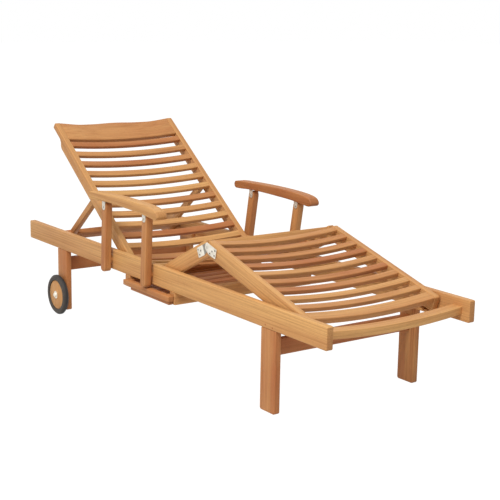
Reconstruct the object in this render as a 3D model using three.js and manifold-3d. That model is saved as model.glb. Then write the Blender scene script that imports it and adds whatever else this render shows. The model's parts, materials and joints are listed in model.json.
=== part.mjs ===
// A folding sun lounger in solid hardwood, in millimetres.
// X runs from the head end to the foot end, Y runs across, Z is up, and the floor is Z = 0.
// The origin is on the floor under the middle of the side rails.

import * as THREE from 'three';
import { mergeVertices } from 'three/addons/utils/BufferGeometryUtils.js';
import Module from 'manifold-3d';

const wasm = await Module();
wasm.setup();

// Clearances that every joint and cut shares
const glueGap = 0.3;
const overrun = 4;
const easedEdge = 2.5;
const arcSteps = 3;
const bowSteps = 6;
const roundSteps = 12;
const wheelSteps = 28;
const armOutlineSteps = 54;

// Side rails
const railLength = 2000;
const frameWidth = 612;
const railThickness = 24;
const railHeight = 74;
const railTop = 345;
const railCornerRadius = 6;

// Legs and what joins them
const legWidth = 78;
const legThickness = 22;
const legCornerRadius = 8;
const frontLegPlace = 713.5;
const rearLegPlace = -702.5;
const rearLegLift = 24;
const legTenonWidth = 50;
const legTenonThickness = 10;
const legTenonDepth = 34;
const stretcherThickness = 22;
const stretcherHeight = 54;
const stretcherBottom = 184;
const stretcherTenonDepth = 12;
const tenonShoulder = 6;
const stretcherOffset = 2;

// Foot crossbar, housed in the rails and hollowed like the slats
const crossbarWidth = 46;
const crossbarThickness = 26;
const crossbarInset = 34;
const crossbarTop = 320;
const crossbarTenonDepth = 10;

// Slats, hollowed across the lounger
const slatWidth = 27;
const slatThickness = 15;
const slatDip = 15.5;
const slatPitch = 57;
const slatTenonDepth = 9;
const slatTenonShoulder = 3;
const slatInset = 1.5;

// Fixed seat
const seatBoardPlace = -136;
const seatBoardWidth = 84;
const seatGap = 29;
const seatSlatCount = 2;

// Stiles of the folding panels
const stileThickness = 24;
const stileSideGap = 4;
const pivotPinRadius = 4;
const pivotPinCollarRadius = 9;
const pivotPinDepth = 12;
const pinPlay = 0.3;

// Back panel, hinged to the rails
const backHingeX = -223;
const backHingeZ = 320;
const backAngle = 36;
const backStileDepth = 50;
const backStileLength = 741;
const backTopDepth = 26;
const backTopLength = 72;
const backStepLength = 34;
const backTopRadius = 7;
const backFirstSlat = 43;
const backSlatClearance = 4;
const headrailWidth = 96;
const headrailInset = 3;
const headrailThickness = 20;
const headrailTenonShoulder = 12;
const headrailWave = 5;
const headrailCrestShares = [0, -0.9, 0, 1, 0, -0.9, 0];

// Prop frame that holds the back up
const propPivotPlace = 346;
const propPivotDrop = 5;
const propAngle = 40.17;
const propLength = 309.1;
const propArmDepth = 24;
const propArmThickness = 22;
const propArmSideGap = 3;
const propBarWidth = 45;
const propBarThickness = 22;
const propBarEndGap = 3;
const propDowelRadius = 5;
const propDowelDepth = 12;

// Notched racks along the inner faces of the rails
const rackThickness = 20;
const propRackTop = 293.5;
const propRackHeight = 22;
const propRackStart = -908;
const propRackEnd = -536;
const propNotchCount = 6;
const propNotchFirst = -868;
const propNotchPitch = 54;
const propNotchWidth = 30;
const propNotchDepth = 13;
const footRackTop = 281;
const footRackHeight = 9.5;
const footRackLength = 213;
const footRackEndGap = 3;
const footNotchCount = 5;
const footNotchInset = 42;
const footNotchPitch = 32;
const footNotchWidth = 14;
const footNotchDepth = 4.5;
const notchFloorShare = 0.75;

// Thigh panel and leg panel, joined at the knee
const thighHingeX = 50;
const thighHingeZ = 318;
const thighAngle = 27;
const thighLength = 308.6;
const seatStileDepth = 54;
const thighFirstSlat = 36.5;
const kneeRailWidth = 41;
const kneeRailThickness = 20;
const kneeRailInset = 8;
const thighSlatClearance = 6;
const legFirstSlat = 19;
const legSlatPitch = 57.2;
const legSlatClearance = 6;
const toeBarWidth = 43;
const toeBarThickness = 20;
const toeBarInset = 1;
const toeCrossbarGap = 1.5;
const toeRestGap = 0.6;
const toeRadius = 7;
const kneeGap = 0.5;
const kneeMitre = 22.5;
const slatHousing = 6;

// Knee hinge: two lobed plates a side, turning on one rivet
const plateThickness = 1.2;
const plateLayerGap = 0.3;
const thighPlateNearEnd = 25;
const thighPlateFarEnd = 65;
const legPlateNearEnd = 15;
const legPlateFarEnd = 56;
const plateHalfHeight = 18;
const plateCornerRadius = 3;
const plateLobeRadius = 13;
const plateNeckHalfHeight = 10;
const plateReliefPlay = 1;
const rivetRadius = 3;

// Armrests
const postSideGap = 9;
const postWidth = 34;
const postThickness = 27;
const postFootLength = 44;
const postFootRadius = 14;
const postPivotZ = 308;
const postLength = 204;
const rearPostX = -290;
const postSpacing = 294;
const postDowelRadius = 6;
const postDowelDepth = 15;
const postCollarRadius = 13;
const armWidth = 43;
const armLength = 504;
const armRearOverhang = 110;
const armThickness = 30;
const armUndersideRise = 22.3;
const bracketThickness = 1.5;
const bracketWidth = 22;
const bracketCheekGap = 0.3;
const bracketSeatDepth = 1.5;
const bracketRivetRadius = 3;

// The side view of an armrest from its tail: places along its length and heights over its underside
const armOutlineShares = [
  [0, 0.35],
  [0.012, -0.08],
  [0.06, -0.14],
  [0.25, 0.03],
  [0.5, 0],
  [0.75, -0.12],
  [0.9, -0.34],
  [0.965, -0.44],
  [0.992, -0.3],
  [1, 0],
  [0.982, 0.48],
  [0.94, 0.73],
  [0.87, 0.9],
  [0.75, 1.01],
  [0.5, 1.07],
  [0.25, 0.99],
  [0.03, 0.82],
  [0.008, 0.7],
];

// Tray that slides out between two grooved runners
const runnerWidth = 33;
const runnerHeight = 45;
const rearRunnerX = -168.5;
const frontRunnerX = 144.5;
const grooveDepth = 10;
const grooveHeight = 14;
const grooveDrop = 17;
const trayPlay = 1;
const trayLipLength = 313;
const trayLipHeight = 20;
const trayLipThickness = 22;
const trayLipTop = 258;
const trayLipX = 0.5;
const trayLipStandoff = 0.5;
const trayDepth = 420;
const trayPullLength = 266;
const trayPullX = 17;
const trayPullHeight = 12;
const trayPullThickness = 16;
const trayFenceHeight = 5;
const trayFenceWidth = 12;

// Wheels and the bolts they turn on
const wheelRadius = 81.5;
const wheelWidth = 22;
const wheelSideGap = 4;
const wheelX = -715;
const discRadius = 59.5;
const discThickness = 20;
const discDish = 2;
const tyreShoulder = 7;
const tyreShoulderShares = [0.25, 0.5];
const tyreLip = 2;
const axleRadius = 6;
const axlePlay = 0.3;
const axleCapRadius = 12;
const axleCapHeight = 8;
const axleCapGap = 0.5;
const axleNutRadius = 11;
const axleNutHeight = 7;
const capProfileShares = [[1, 0], [1, 0.35], [0.5, 0.85], [0, 1]];

// Sizes that follow from the ones above
const railOuter = frameWidth / 2;
const railInner = railOuter - railThickness;
const railBottom = railTop - railHeight;
const stileOuter = railInner - stileSideGap;
const stileInner = stileOuter - stileThickness;
const propOuter = stileInner - propArmSideGap;
const postInner = railOuter + postSideGap;
const postMiddle = postInner + postThickness / 2;
const legMiddle = railOuter - legThickness / 2;
const legInner = railOuter - legThickness;
const crossbarX = railLength / 2 - crossbarInset - crossbarWidth / 2;
const crossbarInner = crossbarX - crossbarWidth / 2;
const frontRunnerInner = frontRunnerX - runnerWidth / 2;
const rearRunnerInner = rearRunnerX + runnerWidth / 2;

const degree = Math.PI / 180;
const sides = [{ name: 'right', sign: -1, lean: 3 }, { name: 'left', sign: 1, lean: 10 }];

// Finishes
const teak = { color: 0xc08a52, roughness: 0.62, metalness: 0 };
const stainless = { color: 0xc9c7c2, roughness: 0.3, metalness: 0.9 };
const rubber = { color: 0x262626, roughness: 0.85, metalness: 0 };

// Turns a closed geometry into a solid that can be joined and cut.
function solidOf(geometry) {
  geometry.deleteAttribute('normal');
  geometry.deleteAttribute('uv');
  const merged = mergeVertices(geometry);
  return new wasm.Manifold(new wasm.Mesh({
    numProp: 3,
    vertProperties: new Float32Array(merged.attributes.position.array),
    triVerts: new Uint32Array(merged.index.array),
  }));
}

// Turns a solid back into a geometry.
function geometryOf(solid) {
  const mesh = solid.getMesh();
  const geometry = new THREE.BufferGeometry();
  geometry.setAttribute('position', new THREE.BufferAttribute(new Float32Array(mesh.vertProperties), 3));
  geometry.setIndex(new THREE.BufferAttribute(new Uint32Array(mesh.triVerts), 1));
  geometry.computeVertexNormals();
  return geometry;
}

function box(sizeX, sizeY, sizeZ, x, y, z) {
  return solidOf(new THREE.BoxGeometry(sizeX, sizeY, sizeZ).translate(x, y, z));
}

// A round bar along Y from one y to the other.
function bar(radius, fromY, toY, x, z) {
  const length = Math.abs(toY - fromY);
  const geometry = new THREE.CylinderGeometry(radius, radius, length, roundSteps);
  return solidOf(geometry.translate(x, (fromY + toY) / 2, z));
}

function joined(solids) {
  return solids.reduce((whole, solid) => whole.add(solid));
}

function cut(solid, cutters) {
  return cutters.reduce((rest, cutter) => rest.subtract(cutter), solid);
}

// An outline through corners [x, z, radius], each corner with a radius rounded by an arc.
function outline(corners) {
  const shape = new THREE.Shape();
  corners.forEach(([x, z, radius = 0], index) => {
    const here = new THREE.Vector2(x, z);
    const last = corners[(index + corners.length - 1) % corners.length];
    const next = corners[(index + 1) % corners.length];
    const toLast = new THREE.Vector2(last[0], last[1]).sub(here).normalize();
    const toNext = new THREE.Vector2(next[0], next[1]).sub(here).normalize();
    const half = Math.acos(THREE.MathUtils.clamp(toLast.dot(toNext), -1, 1)) / 2;
    const start = here.clone().addScaledVector(toLast, radius / Math.tan(half));
    const end = here.clone().addScaledVector(toNext, radius / Math.tan(half));
    if (index === 0) {
      shape.moveTo(start.x, start.y);
    } else {
      shape.lineTo(start.x, start.y);
    }
    if (radius > 0) {
      const middle = toLast.clone().add(toNext).normalize();
      const centre = here.clone().addScaledVector(middle, radius / Math.sin(half));
      const startAngle = Math.atan2(start.y - centre.y, start.x - centre.x);
      const endAngle = Math.atan2(end.y - centre.y, end.x - centre.x);
      shape.absarc(centre.x, centre.y, radius, startAngle, endAngle, toLast.cross(toNext) > 0);
    }
  });
  shape.closePath();
  return shape;
}

// Extrudes an outline by a thickness, centred, with eased edges round both faces.
function slab(shape, thickness, ease) {
  const geometry = new THREE.ExtrudeGeometry(shape, {
    depth: thickness - 2 * ease,
    curveSegments: arcSteps,
    bevelEnabled: ease > 0,
    bevelThickness: ease,
    bevelSize: ease,
    bevelOffset: -ease,
    bevelSegments: 1,
  });
  return geometry.translate(0, 0, ease - thickness / 2);
}

// An X-Z outline made solid across Y.
function crossSolid(shape, thickness, ease) {
  const turn = new THREE.Matrix4().makeBasis(
    new THREE.Vector3(1, 0, 0),
    new THREE.Vector3(0, 0, 1),
    new THREE.Vector3(0, -1, 0),
  );
  return solidOf(slab(shape, thickness, ease).applyMatrix4(turn));
}

// A Y-Z outline made solid along X.
function longSolid(shape, thickness, ease) {
  const turn = new THREE.Matrix4().makeBasis(
    new THREE.Vector3(0, 1, 0),
    new THREE.Vector3(0, 0, 1),
    new THREE.Vector3(1, 0, 0),
  );
  return solidOf(slab(shape, thickness, ease).applyMatrix4(turn));
}

// A Y-Z outline with an arched top and underside; each dips by its own depth at mid-width.
function bowOutline(span, thickness, topDip, undersideDip) {
  const half = span / 2;
  const shape = new THREE.Shape();
  const dipAt = (y, dip) => dip * (1 - (y / half) ** 2);
  const stepShares = Array.from({ length: bowSteps + 1 }, (_, step) => (2 * step) / bowSteps - 1);
  stepShares.forEach((share, index) => {
    const y = half * share;
    const z = -thickness - dipAt(y, undersideDip);
    if (index === 0) {
      shape.moveTo(y, z);
    } else {
      shape.lineTo(y, z);
    }
  });
  stepShares.reverse().forEach((share) => {
    const y = half * share;
    shape.lineTo(y, -dipAt(y, topDip));
  });
  shape.closePath();
  return shape;
}

// A hollowed slat: its top edge ends lie at Z = 0, and its middle at X = 0.
function bowedSlat(width, span, thickness) {
  return longSolid(bowOutline(span, thickness, slatDip, slatDip), width, easedEdge);
}

// The two tenons of a board that spans Y, from its shoulders out.
function tenons(width, thickness, span, depth, x, z) {
  return sides.map(({ sign }) => {
    const reach = depth + overrun;
    const y = sign * (span / 2 + depth / 2 - overrun / 2);
    return box(width, reach, thickness, x, y, z);
  });
}

// The mortise for such a tenon in the piece that carries it.
function mortise(width, thickness, depth, faceY, sign, x, z) {
  const y = faceY + sign * (depth + glueGap - overrun) / 2;
  return box(width + 2 * glueGap, depth + glueGap + overrun, thickness + 2 * glueGap, x, y, z);
}

function addMesh(group, name, solid, finish) {
  const mesh = new THREE.Mesh(geometryOf(solid), new THREE.MeshStandardMaterial(finish));
  mesh.name = name;
  group.add(mesh);
  return mesh;
}

// The middles of the slats that fit between the first one and a limit.
function slatPlaces(first, pitch, limit) {
  const count = Math.floor((limit - slatWidth / 2 - first) / pitch) + 1;
  return Array.from({ length: count }, (_, index) => first + index * pitch);
}

function hingedGroup(parent, x, z, angle) {
  const hinged = new THREE.Group();
  hinged.position.set(x, 0, z);
  hinged.rotation.y = angle * degree;
  parent.add(hinged);
  return hinged;
}

const lounger = new THREE.Group();

// Fixed seat: a wide board at the back hinge, then slats, all housed in the rails
const seatSpan = 2 * (railInner - glueGap);
const slatTenonThickness = slatThickness - 2 * slatTenonShoulder;
const seatTop = railTop - slatInset;
const seatTenonZ = seatTop - slatThickness / 2;
const seatPieces = [{ name: 'seat_board', x: seatBoardPlace, width: seatBoardWidth }];
for (let index = 0; index < seatSlatCount; index += 1) {
  const first = seatBoardPlace + seatBoardWidth / 2 + seatGap + slatWidth / 2;
  const x = first + index * (slatWidth + seatGap);
  seatPieces.push({ name: `seat_slat_${index + 1}`, x, width: slatWidth });
}
seatPieces.forEach(({ name, x, width }) => {
  const tenonWidth = width - 2 * tenonShoulder;
  const board = bowedSlat(width, seatSpan, slatThickness).translate(x, 0, seatTop);
  const ends = tenons(tenonWidth, slatTenonThickness, seatSpan, slatTenonDepth, x, seatTenonZ);
  addMesh(lounger, name, joined([board, ...ends]), teak);
});

// Foot crossbar
const crossbarTenonWidth = crossbarWidth - 2 * tenonShoulder;
const crossbarTenonThickness = crossbarThickness - 2 * tenonShoulder;
const crossbarTenonZ = crossbarTop - crossbarThickness / 2;
const crossbarBody = bowedSlat(crossbarWidth, seatSpan, crossbarThickness).translate(
  crossbarX,
  0,
  crossbarTop,
);
const crossbarTenons = tenons(
  crossbarTenonWidth,
  crossbarTenonThickness,
  seatSpan,
  crossbarTenonDepth,
  crossbarX,
  crossbarTenonZ,
);
addMesh(lounger, 'foot_crossbar', joined([crossbarBody, ...crossbarTenons]), teak);

// Side rails with all their mortises and pin holes
const frontPostX = rearPostX + postSpacing;
sides.forEach(({ name, sign }) => {
  const middleY = sign * (railOuter - railThickness / 2);
  const faceY = sign * railInner;
  const half = railLength / 2;
  const railShape = outline([
    [-half, railBottom, railCornerRadius],
    [half, railBottom, railCornerRadius],
    [half, railTop, railCornerRadius],
    [-half, railTop, railCornerRadius],
  ]);
  const rail = crossSolid(railShape, railThickness, easedEdge).translate(0, middleY, 0);
  const cutters = seatPieces.map(({ x, width }) => (
    mortise(width - 2 * tenonShoulder, slatTenonThickness, slatTenonDepth, faceY, sign, x, seatTenonZ)
  ));
  cutters.push(mortise(
    crossbarTenonWidth,
    crossbarTenonThickness,
    crossbarTenonDepth,
    faceY,
    sign,
    crossbarX,
    crossbarTenonZ,
  ));
  [frontLegPlace, rearLegPlace].forEach((x) => {
    cutters.push(box(
      legTenonWidth + 2 * glueGap,
      legTenonThickness + 2 * glueGap,
      legTenonDepth + overrun,
      x,
      sign * legMiddle,
      railBottom + (legTenonDepth - overrun) / 2,
    ));
  });
  const pinEnd = faceY + sign * (pivotPinDepth + pinPlay);
  cutters.push(bar(pivotPinRadius + pinPlay, faceY - sign * overrun, pinEnd, backHingeX, backHingeZ));
  cutters.push(bar(pivotPinRadius + pinPlay, faceY - sign * overrun, pinEnd, thighHingeX, thighHingeZ));
  [rearPostX, frontPostX].forEach((x) => {
    const dowelEnd = sign * (railOuter - postDowelDepth - pinPlay);
    cutters.push(bar(postDowelRadius + pinPlay, sign * (railOuter + overrun), dowelEnd, x, postPivotZ));
  });
  addMesh(lounger, `side_rail_${name}`, cut(rail, cutters), teak);
});

// Legs, tenoned up into the rails, and the stretchers tenoned into the legs
const stretcherZ = stretcherBottom + stretcherHeight / 2;
const stretcherSpan = 2 * (legInner - glueGap);
const stretcherTenonWidth = stretcherThickness - 2 * tenonShoulder;
const stretcherTenonHeight = stretcherHeight - 2 * tenonShoulder;
const legTop = railBottom - glueGap;
const legPairs = [
  { name: 'front', place: frontLegPlace, foot: 0, stretcherX: frontLegPlace + stretcherOffset },
  { name: 'rear', place: rearLegPlace, foot: rearLegLift, stretcherX: rearLegPlace + stretcherOffset },
];
legPairs.forEach(({ name: end, place, foot, stretcherX }) => {
  sides.forEach(({ name, sign }) => {
    const legShape = outline([
      [place - legWidth / 2, foot, legCornerRadius],
      [place + legWidth / 2, foot, legCornerRadius],
      [place + legWidth / 2, legTop],
      [place - legWidth / 2, legTop],
    ]);
    const leg = crossSolid(legShape, legThickness, easedEdge).translate(0, sign * legMiddle, 0);
    const tenonLength = legTenonDepth - glueGap + overrun;
    const tenonZ = legTop - overrun + tenonLength / 2;
    const tenon = box(legTenonWidth, legTenonThickness, tenonLength, place, sign * legMiddle, tenonZ);
    const cutters = [mortise(
      stretcherTenonWidth,
      stretcherTenonHeight,
      stretcherTenonDepth,
      sign * legInner,
      sign,
      stretcherX,
      stretcherZ,
    )];
    if (end === 'rear') {
      const fromY = sign * (legInner - overrun);
      const toY = sign * (railOuter + overrun);
      cutters.push(bar(axleRadius + axlePlay, fromY, toY, wheelX, wheelRadius));
    }
    addMesh(lounger, `${end}_leg_${name}`, cut(leg.add(tenon), cutters), teak);
  });
  const shape = outline([
    [stretcherX - stretcherThickness / 2, stretcherBottom],
    [stretcherX + stretcherThickness / 2, stretcherBottom],
    [stretcherX + stretcherThickness / 2, stretcherBottom + stretcherHeight],
    [stretcherX - stretcherThickness / 2, stretcherBottom + stretcherHeight],
  ]);
  const stretcher = crossSolid(shape, stretcherSpan, easedEdge);
  const ends = tenons(
    stretcherTenonWidth,
    stretcherTenonHeight,
    stretcherSpan,
    stretcherTenonDepth,
    stretcherX,
    stretcherZ,
  );
  addMesh(lounger, `${end}_stretcher`, joined([stretcher, ...ends]), teak);
});

// A rack: a strip on a rail's inner face with ramped notches along its top.
function rackOutline(start, end, top, height, notches) {
  const corners = [[start, top - height], [end, top - height], [end, top]];
  for (let index = notches.count - 1; index >= 0; index -= 1) {
    const x = notches.first + index * notches.pitch;
    corners.push([x + notches.width / 2, top]);
    corners.push([x - notches.width / 2 + notches.width * notchFloorShare, top - notches.depth]);
    corners.push([x - notches.width / 2, top - notches.depth]);
    corners.push([x - notches.width / 2, top]);
  }
  corners.push([start, top]);
  return outline(corners);
}
const propNotches = {
  count: propNotchCount,
  first: propNotchFirst,
  pitch: propNotchPitch,
  width: propNotchWidth,
  depth: propNotchDepth,
};
const footRackEnd = crossbarInner - footRackEndGap;
const footRackStart = footRackEnd - footRackLength;
const footNotches = {
  count: footNotchCount,
  first: footRackStart + footNotchInset,
  pitch: footNotchPitch,
  width: footNotchWidth,
  depth: footNotchDepth,
};
sides.forEach(({ name, sign }) => {
  const y = sign * (railInner - glueGap - rackThickness / 2);
  const propShape = rackOutline(propRackStart, propRackEnd, propRackTop, propRackHeight, propNotches);
  addMesh(lounger, `prop_rack_${name}`, crossSolid(propShape, rackThickness, 0).translate(0, y, 0), teak);
  const footShape = rackOutline(footRackStart, footRackEnd, footRackTop, footRackHeight, footNotches);
  addMesh(lounger, `foot_rack_${name}`, crossSolid(footShape, rackThickness, 0).translate(0, y, 0), teak);
});

// Shouldered steel pins on which the back and the thigh panel turn
function pivotPin(sign) {
  const faceY = railInner;
  const collarFrom = stileOuter + glueGap;
  const collarTo = faceY - glueGap;
  const pin = bar(pivotPinRadius, sign * (stileOuter - pivotPinDepth), sign * (faceY + pivotPinDepth), 0, 0);
  return pin.add(bar(pivotPinCollarRadius, sign * collarFrom, sign * collarTo, 0, 0));
}
sides.forEach(({ name, sign }) => {
  const backPin = pivotPin(sign).translate(backHingeX, 0, backHingeZ);
  addMesh(lounger, `back_pin_${name}`, backPin, stainless);
  const thighPin = pivotPin(sign).translate(thighHingeX, 0, thighHingeZ);
  addMesh(lounger, `thigh_pin_${name}`, thighPin, stainless);
});

// A stile's blind hole for its pin, at the hinge
function stilePinHole(sign) {
  const bottom = sign * (stileOuter - pivotPinDepth - pinPlay);
  return bar(pivotPinRadius + pinPlay, sign * (stileOuter + overrun), bottom, 0, 0);
}

// Back panel, drawn flat with the hinge at its origin and the head end at negative X
const back = hingedGroup(lounger, backHingeX, backHingeZ, backAngle);
const backFace = backStileDepth / 2;
const backSpan = 2 * (stileInner - glueGap);
const backSlatTop = backFace - slatInset;
const headrailBottomPlace = backStileLength - headrailInset - headrailWidth;
const backSlatPlaces = slatPlaces(backFirstSlat, slatPitch, headrailBottomPlace - backSlatClearance);
const headrailTenonThickness = headrailThickness - 2 * slatTenonShoulder;
const headrailTenonWidth = headrailWidth - 2 * headrailTenonShoulder;
const headrailMiddle = headrailBottomPlace + headrailWidth / 2;
const headrailTenonZ = backSlatTop - headrailThickness / 2;

function backStileShape() {
  const stepStart = backStileLength - backTopLength - backStepLength;
  const stepEnd = backStileLength - backTopLength;
  const underside = -backFace;
  const topUnderside = backFace - backTopDepth;
  const shape = new THREE.Shape();
  shape.moveTo(-backStileLength, topUnderside);
  shape.lineTo(-stepEnd, topUnderside);
  const middle = (stepStart + stepEnd) / 2;
  shape.bezierCurveTo(-middle, topUnderside, -middle, underside, -stepStart, underside);
  shape.lineTo(0, underside);
  shape.absarc(0, 0, backFace, -Math.PI / 2, Math.PI / 2, false);
  shape.lineTo(-backStileLength + backTopRadius, backFace);
  shape.quadraticCurveTo(-backStileLength, backFace, -backStileLength, backFace - backTopRadius);
  shape.closePath();
  return shape;
}

sides.forEach(({ name, sign }) => {
  const stile = crossSolid(backStileShape(), stileThickness, easedEdge);
  const placed = stile.translate(0, sign * (stileInner + stileThickness / 2), 0);
  const face = sign * stileInner;
  const cutters = backSlatPlaces.map((place) => mortise(
    slatWidth - 2 * tenonShoulder,
    slatTenonThickness,
    slatTenonDepth,
    face,
    sign,
    -place,
    backSlatTop - slatThickness / 2,
  ));
  cutters.push(mortise(
    headrailTenonWidth,
    headrailTenonThickness,
    slatTenonDepth,
    face,
    sign,
    -headrailMiddle,
    headrailTenonZ,
  ));
  cutters.push(stilePinHole(sign));
  const dowelEnd = sign * (stileInner + propDowelDepth + pinPlay);
  const holeRadius = propDowelRadius + pinPlay;
  cutters.push(bar(holeRadius, face - sign * overrun, dowelEnd, -propPivotPlace, -propPivotDrop));
  addMesh(back, `back_stile_${name}`, cut(placed, cutters), teak);
});

backSlatPlaces.forEach((place, index) => {
  const z = backSlatTop - slatThickness / 2;
  const tenonWidth = slatWidth - 2 * tenonShoulder;
  const slat = bowedSlat(slatWidth, backSpan, slatThickness).translate(-place, 0, backSlatTop);
  const ends = tenons(tenonWidth, slatTenonThickness, backSpan, slatTenonDepth, -place, z);
  addMesh(back, `back_slat_${String(index + 1).padStart(2, '0')}`, joined([slat, ...ends]), teak);
});

// Headrail: a hollowed board whose upper edge follows a gentle double wave
const headrailReach = headrailWidth + 2 * headrailWave;
const headrailMiddleX = -(headrailBottomPlace + headrailReach / 2);
const headrailBow = longSolid(
  bowOutline(backSpan, headrailThickness, slatDip, slatDip),
  headrailReach,
  easedEdge,
).translate(headrailMiddleX, 0, backSlatTop);
const headrailPlan = new THREE.Shape();
headrailPlan.moveTo(-headrailBottomPlace + overrun, -backSpan);
const crest = headrailCrestShares.map((share, index) => new THREE.Vector2(
  -headrailBottomPlace - headrailWidth - share * headrailWave,
  backSpan * (index / (headrailCrestShares.length - 1) - 1 / 2),
));
headrailPlan.lineTo(crest[0].x, -backSpan);
headrailPlan.lineTo(crest[0].x, crest[0].y);
headrailPlan.splineThru(crest.slice(1));
headrailPlan.lineTo(crest[0].x, backSpan);
headrailPlan.lineTo(-headrailBottomPlace + overrun, backSpan);
headrailPlan.closePath();
const headrailPrism = solidOf(new THREE.ExtrudeGeometry(headrailPlan, {
  depth: 2 * (headrailThickness + slatDip),
  curveSegments: 2 * bowSteps,
  bevelEnabled: false,
}).translate(0, 0, -2 * slatDip));
const headrailTenons = tenons(
  headrailTenonWidth,
  headrailTenonThickness,
  backSpan,
  slatTenonDepth,
  -headrailMiddle,
  headrailTenonZ,
);
addMesh(back, 'headrail', joined([headrailBow.intersect(headrailPrism), ...headrailTenons]), teak);

// Prop frame, hung between the back stiles; its bar rests in a pair of rack notches
const prop = hingedGroup(back, -propPivotPlace, -propPivotDrop, -propAngle - backAngle);
const propBarCentre = -propLength;
const propArmEnd = propLength - propBarThickness / 2;
const propParts = [];
sides.forEach(({ sign }) => {
  const armShape = outline([
    [-propArmEnd, -propArmDepth / 2],
    [propArmDepth / 2, -propArmDepth / 2, propArmDepth / 2 - glueGap],
    [propArmDepth / 2, propArmDepth / 2, propArmDepth / 2 - glueGap],
    [-propArmEnd, propArmDepth / 2],
  ]);
  const armY = sign * (propOuter - propArmThickness / 2);
  propParts.push(crossSolid(armShape, propArmThickness, easedEdge).translate(0, armY, 0));
  const dowelEnd = sign * (stileInner + propDowelDepth);
  propParts.push(bar(propDowelRadius, armY, dowelEnd, 0, 0));
});
const propBarShape = outline([
  [propBarCentre - propBarWidth / 2, -propBarThickness / 2],
  [propBarCentre + propBarWidth / 2, -propBarThickness / 2],
  [propBarCentre + propBarWidth / 2, propBarThickness / 2],
  [propBarCentre - propBarWidth / 2, propBarThickness / 2],
]);
propParts.push(crossSolid(propBarShape, 2 * (railInner - propBarEndGap), easedEdge));
addMesh(prop, 'prop_frame', joined(propParts), teak);

// Thigh panel, drawn flat with its hinge at the origin and the knee at positive X
const thigh = hingedGroup(lounger, thighHingeX, thighHingeZ, -thighAngle);
const seatFace = seatStileDepth / 2;
const kneeCut = seatFace * Math.tan(kneeMitre * degree);
const panelSpan = 2 * (stileInner + slatHousing);
const thighStileShape = outline([
  [-seatFace, -seatFace, seatFace - glueGap],
  [thighLength - kneeGap - kneeCut, -seatFace],
  [thighLength - kneeGap, 0],
  [thighLength - kneeGap, seatFace],
  [-seatFace, seatFace, seatFace - glueGap],
]);
const kneeRailPlace = thighLength - kneeRailInset - kneeRailWidth / 2;
const thighSlatLimit = kneeRailPlace - kneeRailWidth / 2 - thighSlatClearance;
const thighParts = [];
sides.forEach(({ sign }) => {
  const y = sign * (stileInner + stileThickness / 2);
  const stile = crossSolid(thighStileShape, stileThickness, easedEdge).translate(0, y, 0);
  thighParts.push(stile.subtract(stilePinHole(sign)));
});
slatPlaces(thighFirstSlat, slatPitch, thighSlatLimit).forEach((place) => {
  const slat = bowedSlat(slatWidth, panelSpan, slatThickness);
  thighParts.push(slat.translate(place, 0, seatFace - slatInset));
});
const kneeRailBow = bowOutline(panelSpan, kneeRailThickness, 0, 0);
const kneeRail = longSolid(kneeRailBow, kneeRailWidth, easedEdge);
thighParts.push(kneeRail.translate(kneeRailPlace, 0, seatFace - slatInset));
addMesh(thigh, 'thigh_panel', joined(thighParts), teak);

// Leg panel, drawn flat with the knee at its origin; when flat it ends just before the crossbar
const legPanelLength = crossbarInner - toeCrossbarGap - thighHingeX - thighLength;
const kneeHeight = thighHingeZ + thighLength * Math.sin(thighAngle * degree);
const toeDrop = kneeHeight - footRackTop - toeRestGap;
const toeReach = Math.hypot(legPanelLength, seatFace);
const legSlope = Math.asin(toeDrop / toeReach) - Math.atan2(seatFace, legPanelLength);
const leg = hingedGroup(thigh, thighLength, 0, thighAngle + legSlope / degree);
const legStileShape = outline([
  [kneeGap + kneeCut, -seatFace],
  [legPanelLength, -seatFace],
  [legPanelLength, seatFace, toeRadius],
  [kneeGap, seatFace],
  [kneeGap, 0],
]);
const legParts = sides.map(({ sign }) => {
  const y = sign * (stileInner + stileThickness / 2);
  return crossSolid(legStileShape, stileThickness, easedEdge).translate(0, y, 0);
});
const toeBarPlace = legPanelLength - toeBarInset - toeBarWidth / 2;
const legSlatLimit = toeBarPlace - toeBarWidth / 2 - legSlatClearance;
slatPlaces(legFirstSlat, legSlatPitch, legSlatLimit).forEach((place) => {
  const slat = bowedSlat(slatWidth, panelSpan, slatThickness);
  legParts.push(slat.translate(place, 0, seatFace - slatInset));
});
const toeBar = bowedSlat(toeBarWidth, panelSpan, toeBarThickness);
legParts.push(toeBar.translate(toeBarPlace, 0, seatFace - slatInset));
addMesh(leg, 'leg_panel', joined(legParts), teak);

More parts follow.
